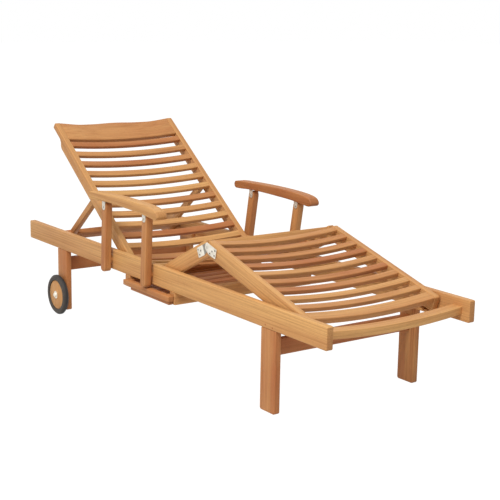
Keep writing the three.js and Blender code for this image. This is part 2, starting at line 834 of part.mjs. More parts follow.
// Knee hinge plates on the stiles' outer faces
function plateShape(direction, nearEnd, farEnd) {
  return outline([
    [direction * nearEnd, -direction * plateHalfHeight, plateCornerRadius],
    [direction * farEnd, -direction * plateHalfHeight, plateCornerRadius],
    [direction * farEnd, direction * plateHalfHeight, plateCornerRadius],
    [direction * nearEnd, direction * plateHalfHeight, plateCornerRadius],
  ]);
}
function neckShape(direction, nearEnd) {
  const reach = nearEnd + plateCornerRadius;
  return outline([
    [0, -direction * plateNeckHalfHeight],
    [direction * reach, -direction * plateNeckHalfHeight],
    [direction * reach, direction * plateNeckHalfHeight],
    [0, direction * plateNeckHalfHeight],
  ]);
}
const innerLayer = stileOuter + glueGap;
const outerLayer = innerLayer + plateThickness + plateLayerGap;
const outerFace = outerLayer + plateThickness;
sides.forEach(({ name, sign }) => {
  const innerY = sign * (innerLayer + plateThickness / 2);
  const thighOutline = plateShape(-1, thighPlateNearEnd, thighPlateFarEnd);
  const thighPlate = joined([
    crossSolid(thighOutline, plateThickness, 0).translate(0, innerY, 0),
    crossSolid(neckShape(-1, thighPlateNearEnd), plateThickness, 0).translate(0, innerY, 0),
    bar(plateLobeRadius, sign * innerLayer, sign * (innerLayer + plateThickness), 0, 0),
    bar(rivetRadius, sign * innerLayer, sign * outerFace, 0, 0),
  ]);
  addMesh(thigh, `knee_plate_thigh_${name}`, thighPlate, stainless).position.x = thighLength;

  const thickY = sign * (innerLayer + outerFace) / 2;
  const legOutline = plateShape(1, legPlateNearEnd, legPlateFarEnd);
  const legPlate = joined([
    crossSolid(legOutline, outerFace - innerLayer, 0).translate(0, thickY, 0),
    crossSolid(neckShape(1, legPlateNearEnd), outerFace - innerLayer, 0).translate(0, thickY, 0),
    bar(plateLobeRadius, sign * innerLayer, sign * outerFace, 0, 0),
  ]);
  const relief = bar(
    plateLobeRadius + plateReliefPlay,
    sign * (innerLayer - overrun),
    sign * outerLayer,
    0,
    0,
  );
  const rivetFrom = sign * (innerLayer - overrun);
  const rivetTo = sign * (outerFace + overrun);
  const rivetHole = bar(rivetRadius + pinPlay, rivetFrom, rivetTo, 0, 0);
  addMesh(leg, `knee_plate_leg_${name}`, cut(legPlate, [relief, rivetHole]), stainless);
});

// Armrests: each board stands on two posts of equal length, so it stays level as they fold
function armShape(tailX, undersideZ) {
  const places = armOutlineShares.map(([along, up]) => (
    new THREE.Vector3(tailX + along * armLength, undersideZ + up * armThickness, 0)
  ));
  const curve = new THREE.CatmullRomCurve3(places, true, 'centripetal');
  const points = curve.getPoints(armOutlineSteps).slice(1);
  return new THREE.Shape(points.map(({ x, y }) => new THREE.Vector2(x, y)));
}

function postShape() {
  const half = postWidth / 2;
  return outline([
    [-half, -postFootLength, postFootRadius],
    [half, -postFootLength, postFootRadius],
    [half, postLength + half, half - glueGap],
    [-half, postLength + half, half - glueGap],
  ]);
}

// The U bracket under an armrest: a bridge, two lobed cheeks and the rivet through them.
const cheekOuter = postThickness / 2 + bracketCheekGap + bracketThickness;
const bracketRise = armUndersideRise + bracketSeatDepth;
function bracketSolid(pivotX, pivotZ, postY) {
  const bridgeZ = pivotZ + bracketRise - bracketThickness / 2;
  const parts = [box(bracketWidth, 2 * cheekOuter, bracketThickness, pivotX, postY, bridgeZ)];
  [-1, 1].forEach((face) => {
    const outerY = postY + face * cheekOuter;
    const innerY = outerY - face * bracketThickness;
    const middleY = (outerY + innerY) / 2;
    parts.push(box(bracketWidth, bracketThickness, bracketRise, pivotX, middleY, pivotZ + bracketRise / 2));
    parts.push(bar(bracketWidth / 2, outerY, innerY, pivotX, pivotZ));
  });
  parts.push(bar(bracketRivetRadius, postY - cheekOuter, postY + cheekOuter, pivotX, pivotZ));
  return joined(parts);
}

// The seat cut up into an armrest's underside for such a bracket.
function bracketSeat(pivotX, pivotZ, postY) {
  const top = pivotZ + bracketRise + glueGap;
  const wide = bracketWidth + 2 * glueGap;
  return box(wide, 2 * (cheekOuter + glueGap), armThickness, pivotX, postY, top - armThickness / 2);
}

sides.forEach(({ name, sign, lean }) => {
  const postY = sign * postMiddle;
  const leanX = postLength * Math.sin(lean * degree);
  const armPivotZ = postPivotZ + postLength * Math.cos(lean * degree);
  const posts = [{ end: 'rear', x: rearPostX }, { end: 'front', x: frontPostX }];
  posts.forEach(({ end, x }) => {
    const postGroup = hingedGroup(lounger, x, postPivotZ, lean);
    const reach = postThickness / 2 + overrun;
    const rivetHole = bar(bracketRivetRadius + pinPlay, postY - reach, postY + reach, 0, postLength);
    const post = crossSolid(postShape(), postThickness, easedEdge).translate(0, postY, 0);
    const dowel = bar(postDowelRadius, sign * (railOuter - postDowelDepth), postY, 0, 0);
    const collar = bar(postCollarRadius, sign * (railOuter + glueGap), postY, 0, 0);
    addMesh(postGroup, `arm_post_${end}_${name}`, joined([post.subtract(rivetHole), dowel, collar]), teak);
    const bracket = bracketSolid(x + leanX, armPivotZ, postY);
    addMesh(lounger, `arm_bracket_${end}_${name}`, bracket, stainless);
  });

  const armTailX = rearPostX + leanX - armRearOverhang;
  const armSide = armShape(armTailX, armPivotZ + armUndersideRise);
  const board = crossSolid(armSide, armWidth, easedEdge).translate(0, postY, 0);
  const seats = posts.map(({ x }) => bracketSeat(x + leanX, armPivotZ, postY));
  addMesh(lounger, `arm_board_${name}`, cut(board, seats), teak);
});

// Tray runners under the rails, each with a groove that faces the tray
const grooveTop = railBottom - glueGap - grooveDrop;
const grooveMiddle = grooveTop - grooveHeight / 2;
const runners = [
  { name: 'rear', x: rearRunnerX, innerX: rearRunnerInner, sign: 1 },
  { name: 'front', x: frontRunnerX, innerX: frontRunnerInner, sign: -1 },
];
runners.forEach(({ name, x, innerX, sign }) => {
  const top = railBottom - glueGap;
  const shape = outline([
    [x - runnerWidth / 2, top - runnerHeight],
    [x + runnerWidth / 2, top - runnerHeight],
    [x + runnerWidth / 2, top],
    [x - runnerWidth / 2, top],
  ]);
  const runner = crossSolid(shape, frameWidth, easedEdge);
  const cutterWidth = grooveDepth + overrun;
  const cutterX = innerX - sign * (grooveDepth - cutterWidth / 2);
  const groove = box(cutterWidth, frameWidth + 2 * overrun, grooveHeight, cutterX, 0, grooveMiddle);
  addMesh(lounger, `tray_runner_${name}`, runner.subtract(groove), teak);
});

// Sliding tray: a board whose edges run in the grooves, low fences, a front lip and a pull strip
const trayFrom = rearRunnerInner - grooveDepth + trayPlay;
const trayTo = frontRunnerInner + grooveDepth - trayPlay;
const trayMiddle = (trayFrom + trayTo) / 2;
const trayBoardThickness = grooveHeight - 2 * trayPlay;
const trayFront = -railOuter - trayLipStandoff;
const trayBoardY = trayFront + trayDepth / 2;
const fenceX = (trayTo - trayFrom) / 2 - grooveDepth - trayFenceWidth / 2;
const fenceZ = grooveMiddle + trayBoardThickness / 2 + trayFenceHeight / 2;
const fenceTall = trayFenceHeight + trayPlay;
const trayParts = [
  box(trayTo - trayFrom, trayDepth + trayPlay, trayBoardThickness, trayMiddle, trayBoardY, grooveMiddle),
  box(
    trayLipLength,
    trayLipThickness,
    trayLipHeight,
    trayLipX,
    trayFront - trayLipThickness / 2,
    trayLipTop - trayLipHeight / 2,
  ),
  box(
    trayPullLength,
    trayPullThickness,
    trayPullHeight + trayPlay,
    trayPullX,
    trayFront - trayPullThickness / 2,
    trayLipTop - trayLipHeight - trayPullHeight / 2 + trayPlay / 2,
  ),
  box(2 * fenceX, trayFenceWidth, fenceTall, trayMiddle, trayFront + trayDepth - trayFenceWidth / 2, fenceZ),
];
[-1, 1].forEach((edge) => {
  trayParts.push(box(trayFenceWidth, trayDepth, fenceTall, trayMiddle + edge * fenceX, trayBoardY, fenceZ));
});
addMesh(lounger, 'tray', joined(trayParts), teak);

// Axle bolts: a domed cap outside the wheel, a shank through wheel and leg, and a nut inside
const wheelInner = railOuter + wheelSideGap;
const capBase = wheelInner + wheelWidth + axleCapGap;
const nutBase = legInner - axleCapGap;
const axleProfile = [
  new THREE.Vector2(0, nutBase - axleNutHeight),
  new THREE.Vector2(axleNutRadius, nutBase - axleNutHeight),
  new THREE.Vector2(axleNutRadius, nutBase),
  new THREE.Vector2(axleRadius, nutBase),
  new THREE.Vector2(axleRadius, capBase),
  ...capProfileShares.map(([out, up]) => (
    new THREE.Vector2(out * axleCapRadius, capBase + up * axleCapHeight)
  )),
];
sides.forEach(({ name, sign }) => {
  const profile = axleProfile.map((point) => new THREE.Vector2(point.x, sign * point.y));
  const turned = sign > 0 ? profile : profile.reverse();
  const bolt = solidOf(new THREE.LatheGeometry(turned, roundSteps));
  addMesh(lounger, `axle_bolt_${name}`, bolt.translate(wheelX, 0, wheelRadius), stainless);
});

// Wheels: a wooden disc with a shallow dish on both faces, and a tyre with rounded shoulders
const discHalf = discThickness / 2;
const discBore = axleRadius + axlePlay;
const discHub = axleRadius + axleCapRadius;
const discProfile = [
  new THREE.Vector2(discBore, -discHalf),
  new THREE.Vector2(discHub, -discHalf),
  new THREE.Vector2(discHub + discDish, discDish - discHalf),
  new THREE.Vector2(discRadius - 2 * discDish, discDish - discHalf),
  new THREE.Vector2(discRadius, -discHalf + 2 * discDish),
  new THREE.Vector2(discRadius, discHalf - 2 * discDish),
  new THREE.Vector2(discRadius - 2 * discDish, discHalf - discDish),
  new THREE.Vector2(discHub + discDish, discHalf - discDish),
  new THREE.Vector2(discHub, discHalf),
  new THREE.Vector2(discBore, discHalf),
  new THREE.Vector2(discBore, -discHalf),
];
const tyreHalf = wheelWidth / 2;
const tyreInner = discRadius + glueGap;
const [shoulderIn, shoulderUp] = tyreShoulderShares.map((share) => share * tyreShoulder);
const tyreProfile = [
  new THREE.Vector2(tyreInner, -tyreHalf + tyreLip),
  new THREE.Vector2(tyreInner + tyreLip, -tyreHalf),
  new THREE.Vector2(wheelRadius - tyreShoulder, -tyreHalf),
  new THREE.Vector2(wheelRadius - shoulderIn, -tyreHalf + shoulderUp),
  new THREE.Vector2(wheelRadius, -tyreHalf + tyreShoulder),
  new THREE.Vector2(wheelRadius, tyreHalf - tyreShoulder),
  new THREE.Vector2(wheelRadius - shoulderIn, tyreHalf - shoulderUp),
  new THREE.Vector2(wheelRadius - tyreShoulder, tyreHalf),
  new THREE.Vector2(tyreInner + tyreLip, tyreHalf),
  new THREE.Vector2(tyreInner, tyreHalf - tyreLip),
  new THREE.Vector2(tyreInner, -tyreHalf + tyreLip),
];
sides.forEach(({ name, sign }) => {
  const y = sign * (wheelInner + wheelWidth / 2);
  const disc = new THREE.LatheGeometry(discProfile, wheelSteps);
  const tyre = new THREE.LatheGeometry(tyreProfile, wheelSteps);
  addMesh(lounger, `wheel_disc_${name}`, solidOf(disc).translate(wheelX, y, wheelRadius), teak);
  addMesh(lounger, `wheel_tyre_${name}`, solidOf(tyre).translate(wheelX, y, wheelRadius), rubber);
});

export default lounger;
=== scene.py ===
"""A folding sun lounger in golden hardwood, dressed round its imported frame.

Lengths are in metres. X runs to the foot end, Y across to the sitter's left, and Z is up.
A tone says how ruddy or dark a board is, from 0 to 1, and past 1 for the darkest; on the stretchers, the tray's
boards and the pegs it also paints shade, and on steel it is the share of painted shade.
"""

import json
import logging
import math
import random
from collections.abc import Sequence
from dataclasses import dataclass
from enum import Enum

import bmesh
import bpy
from mathutils import Matrix, Vector


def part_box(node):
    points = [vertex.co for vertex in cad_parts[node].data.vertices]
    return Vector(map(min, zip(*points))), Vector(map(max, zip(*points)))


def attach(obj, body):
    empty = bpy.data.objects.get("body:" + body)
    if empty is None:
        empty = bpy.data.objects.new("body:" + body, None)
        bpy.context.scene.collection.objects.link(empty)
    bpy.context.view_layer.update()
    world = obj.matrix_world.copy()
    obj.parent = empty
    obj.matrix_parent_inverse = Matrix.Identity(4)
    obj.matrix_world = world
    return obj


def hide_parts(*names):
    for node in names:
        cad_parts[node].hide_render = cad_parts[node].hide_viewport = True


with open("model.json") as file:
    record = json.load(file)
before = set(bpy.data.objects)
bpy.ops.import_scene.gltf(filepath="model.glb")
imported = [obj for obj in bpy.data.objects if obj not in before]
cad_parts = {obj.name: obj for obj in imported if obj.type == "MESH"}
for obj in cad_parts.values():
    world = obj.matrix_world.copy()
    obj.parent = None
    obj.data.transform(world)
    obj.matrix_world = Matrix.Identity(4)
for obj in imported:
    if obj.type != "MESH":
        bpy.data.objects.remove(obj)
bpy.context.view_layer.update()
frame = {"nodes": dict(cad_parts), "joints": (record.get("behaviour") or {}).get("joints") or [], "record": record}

LOG = logging.getLogger("sun_lounger")
STILL = Matrix.Identity(4)
WHITE = (1.0, 1.0, 1.0, 1.0)
# Points that are nearer to each other than this are one.
TOUCH = 1e-6
# Edges at which faces turn by more than the first angle are rounded, in so many faces.
# Those at which they still turn by more than the second one are shaded as edges.
EASE_ANGLE = math.radians(30)
EASE_STEPS = 3
SHARP_ANGLE = math.radians(34)

RGB = tuple[int, int, int]
Pair = tuple[float, float]
Triple = tuple[float, float, float]
Socket = bpy.types.NodeSocket
Feed = Socket | float | tuple[float, ...]


class Way(Enum):
    """A choice between two opposite ways, by the sign of a coordinate."""

    @property
    def word(self) -> str:
        """The way's name as node names spell it."""
        return self.name.lower()

    def pick(self, pair: Pair) -> float:
        """Picks the first of two values for the negative way, and the second otherwise."""
        return pair[0] if self.value < 0 else pair[1]


class Side(Way):
    """The two sides of the lounger, as the sitter sees them, by the sign of Y."""

    RIGHT = -1
    LEFT = 1

    @property
    def outward(self) -> Matrix:
        """The turn that points a piece's own Y outwards on this side."""
        return Matrix.Rotation(self.pick((math.pi, 0.0)), 4, "X")


class End(Way):
    """The two ends of a rail that legs and posts stand at, by the sign of X."""

    REAR = -1
    FRONT = 1


class Slot(Enum):
    """The record's material slots."""

    TEAK = "teak"
    STAINLESS = "stainless"
    RUBBER = "rubber"


class Grain(Enum):
    """How a piece lies, as the turn from its own frame, in which its fibres run along X."""

    ALONG = Matrix.Identity(4)
    ACROSS = Matrix.Rotation(math.pi / 2, 4, "Z")
    UPRIGHT = Matrix.Rotation(-math.pi / 2, 4, "Y")
    ON_EDGE = Matrix.Rotation(math.pi / 2, 4, "X")

    @property
    def back(self) -> Matrix:
        """The turn back to the piece's own frame."""
        return self.value.inverted()


@dataclass(frozen=True)
class Panel:
    """The flat frame in which a folding panel is drawn, with its hinge at the origin.

    Attributes:
        hinge: where the hinge lies in the lounger.
        turn: how far the panel is turned about Y, in radians.
    """

    hinge: Vector
    turn: float

    @property
    def place(self) -> Matrix:
        """The matrix from the panel's flat frame to the lounger."""
        return Matrix.Translation(self.hinge) @ Matrix.Rotation(self.turn, 4, "Y")


@dataclass(frozen=True)
class Sizes:
    """The sizes that several sub-assemblies share."""

    rail_inner: float = 0.282
    stile_outer: float = 0.278
    stile_thickness: float = 0.024
    slat_width: float = 0.027
    slat_thickness: float = 0.015
    slat_dip: float = 0.0155
    slat_pitch: float = 0.057
    slat_inset: float = 0.0015
    glue_gap: float = 0.0003
    housing: float = 0.001
    seat_stile_depth: float = 0.054

    @property
    def stile_inner(self) -> float:
        """How far the inner faces of the panels' stiles are from the middle."""
        return self.stile_outer - self.stile_thickness

    @property
    def stile_middle(self) -> float:
        """How far the middles of the panels' stiles are from the middle."""
        return self.stile_outer - self.stile_thickness / 2

    @property
    def slat_span(self) -> float:
        """The length of the slats between two stiles, with both ends in their housings."""
        return 2 * (self.stile_inner + self.housing)

    @property
    def seat_slat_top(self) -> float:
        """How high the seat slats' ends reach over the middle of their stiles."""
        return self.seat_stile_depth / 2 - self.slat_inset


SIZES = Sizes()


def joint_place(name: str) -> Vector:
    """Finds where a joint's pivot lies in the lounger."""
    return Vector(next(j["pos_m"] for j in frame["joints"] if j["name"] == name))


def coupling_ratio(name: str) -> float:
    """Finds how far a coupled joint turns for each turn of the joint that it follows."""
    rows = frame["record"]["behaviour"]["couplings"]
    return next(row["ratio"] for row in rows if row["joint"] == name)


def middle_and_size(node: str) -> tuple[Vector, Vector]:
    """Finds the middle and the size of a node's box."""
    low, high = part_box(node)
    return (low + high) / 2, high - low


def outer_face(node: str) -> float:
    """Finds how far the outer face of a node at one side is from the middle."""
    return max(abs(corner.y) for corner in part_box(node))


def srgb(colour: RGB) -> tuple[float, float, float, float]:
    """Turns a colour as a screen shows it into scene-linear values.

    Args:
        colour: red, green and blue from 0 to 255.

    Returns:
        Linear red, green, blue and an alpha of 1.
    """
    shares = [value / 255 for value in colour]
    linear = [s / 12.92 if s <= 0.04045 else ((s + 0.055) / 1.055) ** 2.4 for s in shares]
    return (*linear, 1.0)


class Sketch:
    """A node tree with short calls for the nodes that the finishes use."""

    def __init__(self, tree: bpy.types.NodeTree) -> None:
        """Starts from an empty tree."""
        self.tree = tree
        tree.nodes.clear()

    def add(
        self, kind: str, inputs: dict[str | int, Feed] | None = None, **settings: object
    ) -> bpy.types.Node:
        """Adds a node.

        Args:
            kind: the node's type.
            inputs: a value or another node's output for each named or numbered input.
            settings: the node's own settings.

        Returns:
            The node.
        """
        node = self.tree.nodes.new(kind)
        for name, value in settings.items():
            setattr(node, name, value)
        for socket, value in (inputs or {}).items():
            if isinstance(value, Socket):
                self.tree.links.new(value, node.inputs[socket])
            else:
                node.inputs[socket].default_value = value
        return node

    def attribute(self, name: str, output: str = "Fac") -> Socket:
        """Reads what a piece's points have noted under a name."""
        return self.add("ShaderNodeAttribute", attribute_name=name).outputs[output]

    def effect(self, group: bpy.types.NodeTree, **inputs: Feed) -> dict[str, Socket]:
        """Places an effect's group and gives its outputs by name."""
        return dict(self.add("ShaderNodeGroup", inputs, node_tree=group).outputs.items())

    def noise(self, place: Socket, cells: Feed, detail: float, swirl: float = 0.0) -> Socket:
        """Adds noise that can be stretched along the fibres.

        Args:
            place: the coordinates.
            cells: the cells in a metre, along X, Y and Z.
            detail: how many finer layers there are.
            swirl: how much the cells swirl.

        Returns:
            The noise, from 0 to 1.
        """
        mapped = self.add("ShaderNodeMapping", {"Vector": place, "Scale": cells}).outputs[0]
        inputs = {"Vector": mapped, "Scale": 1.0, "Detail": detail, "Distortion": swirl}
        return self.add("ShaderNodeTexNoise", inputs).outputs["Fac"]

    def spread(self, value: Socket, span: Pair, to: Pair = (0.0, 1.0)) -> Socket:
        """Maps a value from one range to another and clamps it there.

        Args:
            value: the value.
            span: the range that it comes from.
            to: the range that it goes to.

        Returns:
            The mapped value.
        """
        names = ("From Min", "From Max", "To Min", "To Max")
        inputs = {"Value": value, **dict(zip(names, (*span, *to)))}
        return self.add("ShaderNodeMapRange", inputs).outputs[0]

    def calc(self, operation: str, first: Feed, second: Feed) -> Socket:
        """Works a sum, product or the like out of two values."""
        return self.add("ShaderNodeMath", {0: first, 1: second}, operation=operation).outputs[0]

    def mix(self, share: Feed, first: Feed, second: Feed) -> Socket:
        """Mixes two colours by a share from 0 to 1."""
        node = self.add("ShaderNodeMix", {0: share, 6: first, 7: second}, data_type="RGBA")
        return node.outputs[2]

    def stain(self, colour: Socket, mask: Socket, share: float, tint: RGB) -> Socket:
        """Mixes a share of a tint into a colour where a mask shows."""
        return self.mix(self.calc("MULTIPLY", mask, share), colour, srgb(tint))


class MaterialSketch(Sketch):
    """The node tree of a new material."""

    def __init__(self, name: str) -> None:
        """Makes the material and empties its tree.

        Args:
            name: the material's name.
        """
        self.material = bpy.data.materials.new(name)
        self.material.use_nodes = True
        super().__init__(self.material.node_tree)

    def close(self, shader: bpy.types.Node) -> bpy.types.Material:
        """Leads a shader to the output and gives the material."""
        self.add("ShaderNodeOutputMaterial", {"Surface": shader.outputs[0]})
        return self.material


def new_group(name: str, inputs: dict[str, str], outputs: Sequence[str]) -> bpy.types.NodeTree:
    """Makes an empty shader group.

    Args:
        name: the group's name.
        inputs: the kind of each named input, Vector or Float.
        outputs: the names of the outputs, which are all masks.

    Returns:
        The group.
    """
    group = bpy.data.node_groups.new(name, "ShaderNodeTree")
    for socket, kind in inputs.items():
        group.interface.new_socket(socket, in_out="INPUT", socket_type=f"NodeSocket{kind}")
    for socket in outputs:
        group.interface.new_socket(socket, in_out="OUTPUT", socket_type="NodeSocketFloat")
    return group


@dataclass(frozen=True)
class HandlingWear:
    """The soft blotches that handling and weather leave on any surface."""

    detail: float = 4.0
    span: Pair = (0.38, 0.68)

    def build(self) -> bpy.types.NodeTree:
        """Builds the group.

        Returns:
            A group that turns a place and a scale into a mask from 0 to 1.
        """
        group = new_group("handling_wear", {"Place": "Vector", "Scale": "Float"}, ["Mask"])
        sketch = Sketch(group)
        entry = sketch.add("NodeGroupInput").outputs
        inputs = {"Vector": entry["Place"], "Scale": entry["Scale"], "Detail": self.detail}
        blotches = sketch.add("ShaderNodeTexNoise", inputs).outputs["Fac"]
        sketch.add("NodeGroupOutput", {"Mask": sketch.spread(blotches, self.span)})
        return group


@dataclass(frozen=True)
class FineMarks:
    """The fine brushing of steel or the grit of rubber, by how its cells are stretched."""

    detail: float = 2.0

    def build(self) -> bpy.types.NodeTree:
        """Builds the group.

        Returns:
            A group that turns a place and the cells in a metre into marks from 0 to 1.
        """
        group = new_group("fine_marks", {"Place": "Vector", "Cells": "Vector"}, ["Marks"])
        sketch = Sketch(group)
        entry = sketch.add("NodeGroupInput").outputs
        marks = sketch.noise(entry["Place"], entry["Cells"], self.detail)
        sketch.add("NodeGroupOutput", {"Marks": marks})
        return group


@dataclass(frozen=True)
class Layer:
    """One layer of a wood's figure: noise, and the values between which it fades in."""

    cells: Triple
    detail: float
    swirl: float
    span: Pair


@dataclass(frozen=True)
class HardwoodFigure:
    """The figure of straight-grained hardwood, with its fibres along X.

    The colour drifts slowly along a board, the streaks are fine and dark, the pores are dashes,
    and the growth bands are a wave that is drawn out along the fibres and wanders.
    """

    drift: Layer = Layer((1.1, 13.0, 13.0), 3.0, 0.4, (0.3, 0.7))
    streaks: Layer = Layer((2.6, 260.0, 260.0), 3.0, 0.2, (0.46, 0.72))
    pores: Layer = Layer((60.0, 1900.0, 1900.0), 1.0, 0.0, (0.58, 0.74))
    band_stretch: Triple = (0.09, 1.0, 1.0)
    band_cells: float = 34.0
    band_swirl: float = 9.0
    band_detail: float = 2.0
    band_detail_cells: float = 0.6
    band_span: Pair = (0.35, 1.0)

    def build(self) -> bpy.types.NodeTree:
        """Builds the group.

        Returns:
            A group that turns a place into masks for drift, growth bands, streaks and pores.
        """
        layers = {"Drift": self.drift, "Streaks": self.streaks, "Pores": self.pores}
        group = new_group("hardwood_figure", {"Place": "Vector"}, [*layers, "Bands"])
        sketch = Sketch(group)
        place = sketch.add("NodeGroupInput").outputs["Place"]
        outputs = {}
        for name, layer in layers.items():
            noise = sketch.noise(place, layer.cells, layer.detail, layer.swirl)
            outputs[name] = sketch.spread(noise, layer.span)
        along = sketch.add("ShaderNodeMapping", {"Vector": place, "Scale": self.band_stretch})
        inputs = {
            "Vector": along.outputs[0],
            "Scale": self.band_cells,
            "Distortion": self.band_swirl,
            "Detail": self.band_detail,
            "Detail Scale": self.band_detail_cells,
        }
        bands = sketch.add("ShaderNodeTexWave", inputs, bands_direction="Y").outputs["Fac"]
        outputs["Bands"] = sketch.spread(bands, self.band_span)
        sketch.add("NodeGroupOutput", outputs)
        return group


@dataclass(frozen=True)
class Effects:
    """The shader groups that the finishes share."""

    wear: bpy.types.NodeTree
    marks: bpy.types.NodeTree
    figure: bpy.types.NodeTree


@dataclass(frozen=True)
class Hardwood:
    """Golden hardwood, sanded and oiled, whose boards range from pale to ruddy."""

    name: str = "oiled_hardwood"
    pale: RGB = (222, 170, 106)
    ruddy: RGB = (180, 110, 64)
    band: RGB = (168, 104, 58)
    streak: RGB = (138, 80, 42)
    pore: RGB = (104, 60, 34)
    end: RGB = (150, 92, 50)
    band_share: float = 0.2
    streak_share: float = 0.42
    pore_share: float = 0.36
    end_share: float = 0.4
    drift_share: float = 0.75
    wear_share: float = 0.14
    wear_scale: float = 9.0
    roughness: Pair = (0.5, 0.68)
    bump_distance: float = 0.0003
    bump_strength: float = 0.5
    sheen: float = 0.3

    def build(self, effects: Effects) -> bpy.types.Material:
        """Builds the material, which reads each piece's own grain and tone.

        Args:
            effects: the shared shader groups.

        Returns:
            The material.
        """
        sketch = MaterialSketch(self.name)
        grain = sketch.attribute("grain", "Vector")
        figure = sketch.effect(effects.figure, Place=grain)
        worn = sketch.effect(effects.wear, Place=grain, Scale=self.wear_scale)["Mask"]
        half = self.drift_share / 2
        drift = sketch.spread(figure["Drift"], (0.0, 1.0), (-half, half))
        ruddy = sketch.calc("ADD", sketch.attribute("tone"), drift)
        colour = sketch.mix(ruddy, srgb(self.pale), srgb(self.ruddy))
        for mask, share, tint in (
            (figure["Bands"], self.band_share, self.band),
            (figure["Streaks"], self.streak_share, self.streak),
            (figure["Pores"], self.pore_share, self.pore),
            (sketch.attribute("end_grain"), self.end_share, self.end),
            (worn, self.wear_share, self.pale),
        ):
            colour = sketch.stain(colour, mask, share, tint)
        inputs = {
            "Height": sketch.calc("ADD", figure["Streaks"], figure["Pores"]),
            "Distance": self.bump_distance,
            "Strength": self.bump_strength,
        }
        bump = sketch.add("ShaderNodeBump", inputs, invert=True)
        inputs = {
            "Base Color": colour,
            "Roughness": sketch.spread(figure["Streaks"], (0.0, 1.0), self.roughness),
            "Specular IOR Level": self.sheen,
            "Normal": bump.outputs[0],
        }
        return sketch.close(sketch.add("ShaderNodeBsdfPrincipled", inputs))


@dataclass(frozen=True)
class SatinSteel:
    """Pressed stainless steel with a fine satin brushing, and painted shade mixed in by each solid's tone, most in
    screws and knuckles.
    """

    name: str = "satin_steel"
    clean: RGB = (240, 234, 220)
    dull: RGB = (214, 207, 192)
    shaded: RGB = (74, 66, 56)
    metallic: float = 0.45
    brushing: Triple = (2600.0, 90.0, 2600.0)
    brushing_span: Pair = (0.3, 0.7)
    wear_scale: float = 70.0
    roughness: Pair = (0.34, 0.52)
    bump_distance: float = 0.00004

    def build(self, effects: Effects) -> bpy.types.Material:
        """Builds the material, which reads each solid's tone as its share of painted shade.

        Args:
            effects: the shared shader groups.

        Returns:
            The material.
        """
        sketch = MaterialSketch(self.name)
        place = sketch.add("ShaderNodeTexCoord").outputs["Object"]
        worn = sketch.effect(effects.wear, Place=place, Scale=self.wear_scale)["Mask"]
        lines = sketch.effect(effects.marks, Place=place, Cells=self.brushing)["Marks"]
        plain = sketch.mix(worn, srgb(self.clean), srgb(self.dull))
        bump = sketch.add("ShaderNodeBump", {"Height": lines, "Distance": self.bump_distance})
        inputs = {
            # The solid's tone mixes the painted shade colour into the steel.
            "Base Color": sketch.mix(sketch.attribute("tone"), plain, srgb(self.shaded)),
            "Metallic": self.metallic,
            "Roughness": sketch.spread(lines, self.brushing_span, self.roughness),
            "Normal": bump.outputs[0],
        }
        return sketch.close(sketch.add("ShaderNodeBsdfPrincipled", inputs))


@dataclass(frozen=True)
class WheelRubber:
    """Black rubber, dusty on the walls of the tyre and rubbed dark on its tread."""

    name: str = "dusty_rubber"
    tread: RGB = (44, 41, 40)
    dust: RGB = (86, 75, 64)
    dust_share: float = 0.55
    least_dust_share: float = 0.5
    wear_scale: float = 60.0
    grit: Triple = (900.0, 900.0, 900.0)
    grit_span: Pair = (0.3, 0.7)
    roughness: Pair = (0.55, 0.8)
    bump_distance: float = 0.0001

    def build(self, effects: Effects) -> bpy.types.Material:
        """Builds the material, which reads the tyre's own tone for its dust.

        Args:
            effects: the shared shader groups.

        Returns:
            The material.
        """
        sketch = MaterialSketch(self.name)
        place = sketch.add("ShaderNodeTexCoord").outputs["Object"]
        worn = sketch.effect(effects.wear, Place=place, Scale=self.wear_scale)["Mask"]
        patchy = sketch.spread(worn, (0.0, 1.0), (self.least_dust_share, 1.0))
        dusty = sketch.calc("MULTIPLY", sketch.attribute("tone"), patchy)
        grit = sketch.effect(effects.marks, Place=place, Cells=self.grit)["Marks"]
        bump = sketch.add("ShaderNodeBump", {"Height": grit, "Distance": self.bump_distance})
        inputs = {
            "Base Color": sketch.mix(
                sketch.calc("MULTIPLY", dusty, self.dust_share), srgb(self.tread), srgb(self.dust)
            ),
            "Roughness": sketch.spread(grit, self.grit_span, self.roughness),
            "Normal": bump.outputs[0],
        }
        return sketch.close(sketch.add("ShaderNodeBsdfPrincipled", inputs))


def round_edges(
    mesh: bmesh.types.BMesh,
    edges: list[bmesh.types.BMEdge],
    radius: float,
    steps: int,
    clamp: bool = False,
) -> None:
    """Rounds some edges of a mesh.

    Args:
        mesh: the mesh.
        edges: the edges.
        radius: the rounding's radius.
        steps: how many faces the rounding has.
        clamp: whether it stops where it meets another.
    """
    bmesh.ops.bevel(
        mesh,
        geom=edges,
        offset=radius,
        offset_type="OFFSET",
        segments=steps,
        profile=0.5,
        affect="EDGES",
        material=-1,
        clamp_overlap=clamp,
    )


def ease_edges(mesh: bmesh.types.BMesh, radius: float) -> None:
    """Rounds every sharp edge a little, as sandpaper does."""
    sharp = [e for e in mesh.edges if e.is_manifold and e.calc_face_angle(0.0) > EASE_ANGLE]
    round_edges(mesh, sharp, radius, EASE_STEPS, clamp=True)


@dataclass(kw_only=True)
class Form:
    """The form of one solid, in a frame of its own.

    Attributes:
        end_skin: how far the darker end grain reaches in from both ends of the fibres.
    """

    end_skin: float = 0.0006

    def draw(self, mesh: bmesh.types.BMesh) -> None:
        """Draws the form, each kind in its own way."""
        raise NotImplementedError

    def bow(self, mesh: bmesh.types.BMesh) -> None:
        """Bends the drawn form once its grain is noted, which most kinds don't."""


